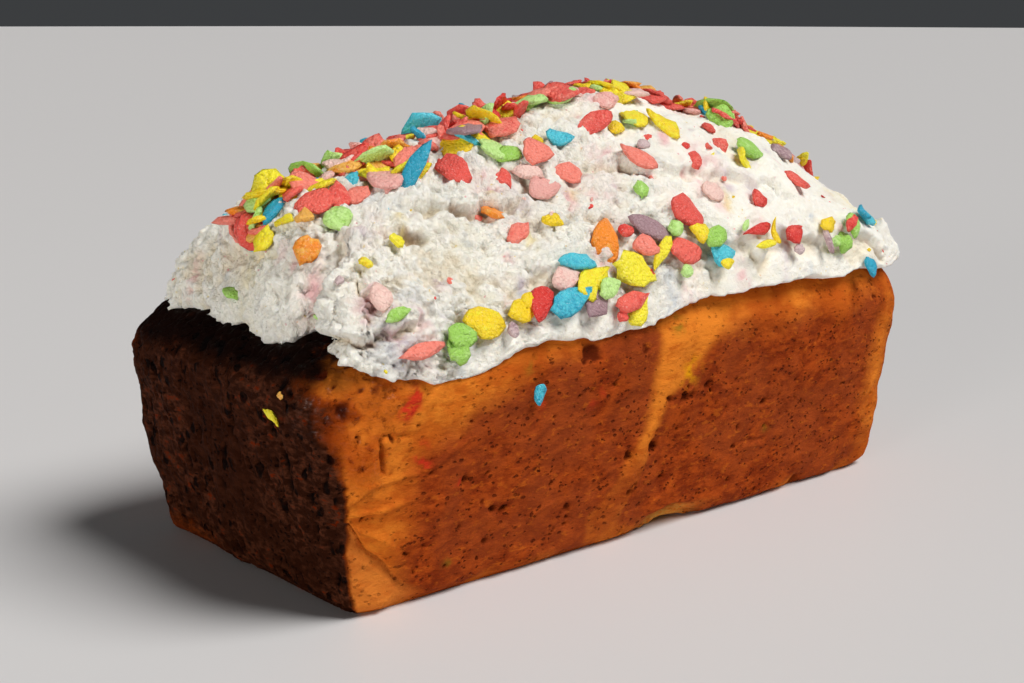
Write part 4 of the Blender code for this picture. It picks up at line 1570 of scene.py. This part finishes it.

# %% [markdown]
# ## The scorched end
# The end is nearly black, with a few red embers and an ashen mottle that is partly a painted
# satin sheen, and burst bubbles as pits darkened with painted shade. It turns into the orange wall
# over a dark toffee border, which the crackle makes ragged. Above it the crust is wet and black.

# %% Colour of the scorched end
# Ashen mottle: a lighter burnt tone, which also stands in for a painted satin sheen.
burnt = (fleck.step(0.4, 0.62) * (0.35 + 0.65 * speck.step(0.35, 0.6))).mix(SCORCHED, ASH_AND_SHEEN)
burnt = (blotch.step(0.42, 0.6) * 0.7).mix(burnt, SCORCHED)
burnt = (fleck.step(0.6, 0.68) * blotch.step(0.56, 0.46)).mix(burnt, EMBER)
burst = stir(place, 3, 3) * (0.8, 0.8, 0.5)
burst = cells(burst, 3.2).step(0.34, 0.2) * grain(place, 8, 2).step(0.45, 0.54) * scorch
border = scorch + 0.5 * scorch * (1 - scorch) * (crackle * 6 - 3)
base = (border.step(0.0, 0.5) * 0.85).mix(base, TOFFEE)
base = border.step(0.35, 0.9).mix(base, burnt)
base = (black * mottle.step(0.8, 0.55)).mix(base, BLACK)

# %% [markdown]
# ## Crumbs, pits and shine
# Torn crumb, baked-in bits of flakes and painted shade in the pits lie over all other colours.
# Sugar makes the crust shiny at the top of the dark end and on the caramel corner only.

# %% Crust material
base = mark(place, "crumb").mix(base, speck.step(0.35, 0.6).mix(AMBER, CRUMB))
base = (mark(place, "stained") * speck.step(0.25, 0.5)).mix(base, mark(place, "baked", 0))
# Painted shade: the insides of pits, pinholes and burst bubbles are darkened.
dark = scorch.mix(PIT_SHADE, CHARRED_PIT_SHADE)
base = (pinholes * 0.8 * (1 - black)).mix(base, dark)
base = (mark(place, "pit").step(0.12, 0.7) * 0.95).mix(base, dark)
base = (burst * 0.9).mix(base, CHARRED_PIT_SHADE)
height = mottle * 0.7 + speck * 0.4 + fleck * 0.3 - pinholes * 0.9 - burst
gloss = (black * 0.8 + caramel) * speck.step(0.45, 0.65)
finish(
    shader,
    {
        "Base Color": base,
        "Roughness": 0.72 - 0.3 * gloss + 0.1 * speck,
        "Normal": height.bump(0.95, 0.0010),
        "Coat Weight": gloss * (0.2 - 0.1 * black),
        "Coat Roughness": 0.28,
        "Specular IOR Level": 0.03,
    },
)
loaf.data.materials.append(material)

# %% [markdown]
# ## Whipped frosting
# Fat and sugar beaten full of air: warm off-white, matte and softly lit from within. Its hollows
# and the low parts of its froth get painted shade, its crevices a painted brown shadow, and it is
# grainy where it was torn. The stains are soft, with sharp little flecks of dye between them.

# %% Frosting material
CREAM, SHADE_CREAM, HOLLOW_SHADE_CREAM = (0.98, 0.945, 0.86), (0.95, 0.90, 0.79), (0.82, 0.71, 0.52)
CREVICE_SHADOW, FLECK_PINK, FLECK_LEMON = (0.30, 0.15, 0.08), (0.78, 0.22, 0.26), (0.82, 0.62, 0.10)

material, shader, place = new_material("whipped frosting")
rough, hollow_shade = mark(place, "torn"), mark(place, "hollow_shade")
froth, grit = grain(stir(place, 2, 1.2), 2.6, 6, 0.68), grain(place, 0.5, 3, 0.6)
tears = grain(stir(place, 1.6, 1.6), 1.4, 4, 0.65)
base = froth.step(0.35, 0.58).mix(SHADE_CREAM, CREAM)
# Painted shade: sunken hollows turn a deep warm cream.
base = (hollow_shade.step(0.3, 1.0) * 0.6).mix(base, HOLLOW_SHADE_CREAM)
# Painted shadow: a brown shade laid into the crevices under the ledges.
base = (mark(place, "crevice").step(0.15, 0.9) * 0.8).mix(base, CREVICE_SHADOW)
base = (mark(place, "stained") * (0.4 + 0.9 * froth)).mix(base, mark(place, "tint", 0))
ragged = stir(place, 0.8, 0.8)
flecks = cells(ragged, 2.7).step(0.15, 0.09) * grain(place, 9, 2).step(0.5, 0.58)
base = (flecks * 0.6).mix(base, grain(ragged, 12, 2).step(0.48, 0.52).mix(FLECK_PINK, FLECK_LEMON))
height = froth * (0.4 + 0.8 * rough) + tears.step(0.42, 0.58) * (0.1 + 0.4 * rough) + grit * 0.4
finish(
    shader,
    {
        "Base Color": base,
        "Roughness": 0.6 + 0.15 * froth,
        "Normal": height.bump(0.75, 0.0009),
        "Subsurface Weight": 0.25,
        "Subsurface Radius": (1.0, 0.85, 0.7),
        "Subsurface Scale": 0.0012,
        "Specular IOR Level": 0.2,
    },
)
frosting.data.materials.append(material)

# %% [markdown]
# ## Crisp flakes
# Dyed and sugared: strong colours, with paler sugar specks and darker seams between the bubbles.
# The colours share one recipe, and each flake is a little lighter or darker than the next.

# %% Flake materials
FLAKE_COLOURS = {  # deep tone, light tone
    "coral": ((0.87, 0.090, 0.065), (1.0, 0.26, 0.19)),
    "red": ((0.76, 0.030, 0.020), (0.95, 0.14, 0.10)),
    "yellow": ((1.0, 0.70, 0.002), (1.0, 0.88, 0.02)),
    "orange": ((1.0, 0.28, 0.006), (1.0, 0.52, 0.09)),
    "green": ((0.36, 0.68, 0.10), (0.60, 0.90, 0.30)),
    "blue": ((0.010, 0.38, 0.58), (0.08, 0.62, 0.76)),
    "pink": ((0.90, 0.42, 0.37), (0.98, 0.66, 0.58)),
    "mauve": ((0.40, 0.24, 0.27), (0.70, 0.53, 0.53)),
}


def flake_material(hue, deep, light):
    material, shader, place = new_material(f"{hue} flakes")
    bubble, sugar = cells(stir(place, 0.8, 0.5), 0.8), grain(place, 0.45, 3, 0.7)
    tone = (grain(place, 2.0, 5, 0.65) + 0.6 * mark(place, "shade") - 0.3).step(0.34, 0.64)
    base = tone.mix(deep, light)
    base = (bubble.step(0.5, 0.85) * 0.25).mix(base, deep)
    base = (sugar.step(0.56, 0.7) * 0.3).mix(base, (0.98, 0.94, 0.90))
    height = sugar * 0.8 - bubble * bubble * 0.9
    finish(
        shader,
        {
            "Base Color": base,
            "Roughness": 0.25 + 0.35 * sugar,
            "Normal": height.bump(0.85, 0.0006),
        },
    )
    return material


for hue, tones in FLAKE_COLOURS.items():
    flake_pieces[hue].data.materials.append(flake_material(hue, *tones))

# %% [markdown]
# ## Table
# The loaf stands alone on a plain pale floor, one large square.

# %% Floor
FLOOR_HALF = 30.0  # metres

corners = [(-1, -1), (1, -1), (1, 1), (-1, 1)]
mesh = bpy.data.meshes.new("floor")
mesh.from_pydata([(x * FLOOR_HALF, y * FLOOR_HALF, 0) for x, y in corners], [], [(0, 1, 2, 3)])
floor = bpy.data.objects.new("floor", mesh)
bpy.context.scene.collection.objects.link(floor)
material, shader, place = new_material("pale table")
finish(shader, {"Base Color": (0.69, 0.675, 0.675), "Roughness": 0.5, "Specular IOR Level": 0.25})
mesh.materials.append(material)

# %% [markdown]
# ## Light
# The main light is a broad one from the right and above, so that the dark end is in its own shade
# and the soft shadow falls to the left. A warm, low one from the left stands for what the room
# throws back on the dark end. Both are wide suns, which need no size or distance. The sky adds
# very little. Colours are shown as they are, with no film look.

# %% Lights
MIDDLE = Vector((0, 0, 0.05))
SKY_COLOUR, SKY_STRENGTH = (0.9, 0.95, 1.0, 1), 0.05


def new_sun(name, place, energy, colour, width):
    """A sun that shines from a place in metres on the loaf's middle, with a width in degrees."""
    light = bpy.data.lights.new(name, "SUN")
    light.energy, light.color, light.angle = energy, colour, math.radians(width)
    lamp = bpy.data.objects.new(name, light)
    bpy.context.scene.collection.objects.link(lamp)
    lamp.location = place
    lamp.rotation_euler = (MIDDLE - Vector(place)).to_track_quat("-Z", "Y").to_euler()


new_sun("broad light", (0.6, -0.78, 1.4), 3.25, (1.0, 0.99, 0.97), 34)
new_sun("room", (-1.0, -0.27, 0.06), 2.9, (1.0, 0.98, 0.93), 20)
world = bpy.data.worlds.new("room")
world.use_nodes = True
world.node_tree.nodes["Background"].inputs["Color"].default_value = SKY_COLOUR
world.node_tree.nodes["Background"].inputs["Strength"].default_value = SKY_STRENGTH
bpy.context.scene.world = world
bpy.context.scene.view_settings.view_transform = "Standard"

# %% [markdown]
# ## Camera
# The camera stands low and close, so the loaf's near corner looks large. Its place, its three
# turns and its lens were worked out together from the loaf's own edges, taken as a box.

# %% Camera
AZIMUTH, ELEVATION, ROLL = -40.877, 12.107, -0.0998  # degrees
CAMERA_PLACE = (-0.296657, -0.328500, 0.142767)
LENS = 52.643  # mm, on a 36 mm wide sensor

camera_data = bpy.data.cameras.new("camera")
camera_data.lens, camera_data.sensor_width, camera_data.clip_start = LENS, 36, 0.01
camera = bpy.data.objects.new("camera", camera_data)
bpy.context.scene.collection.objects.link(camera)
camera.location = CAMERA_PLACE
camera.rotation_mode = "XYZ"
camera.rotation_euler = (math.radians(90 - ELEVATION), math.radians(ROLL), math.radians(AZIMUTH))
bpy.context.scene.camera = camera
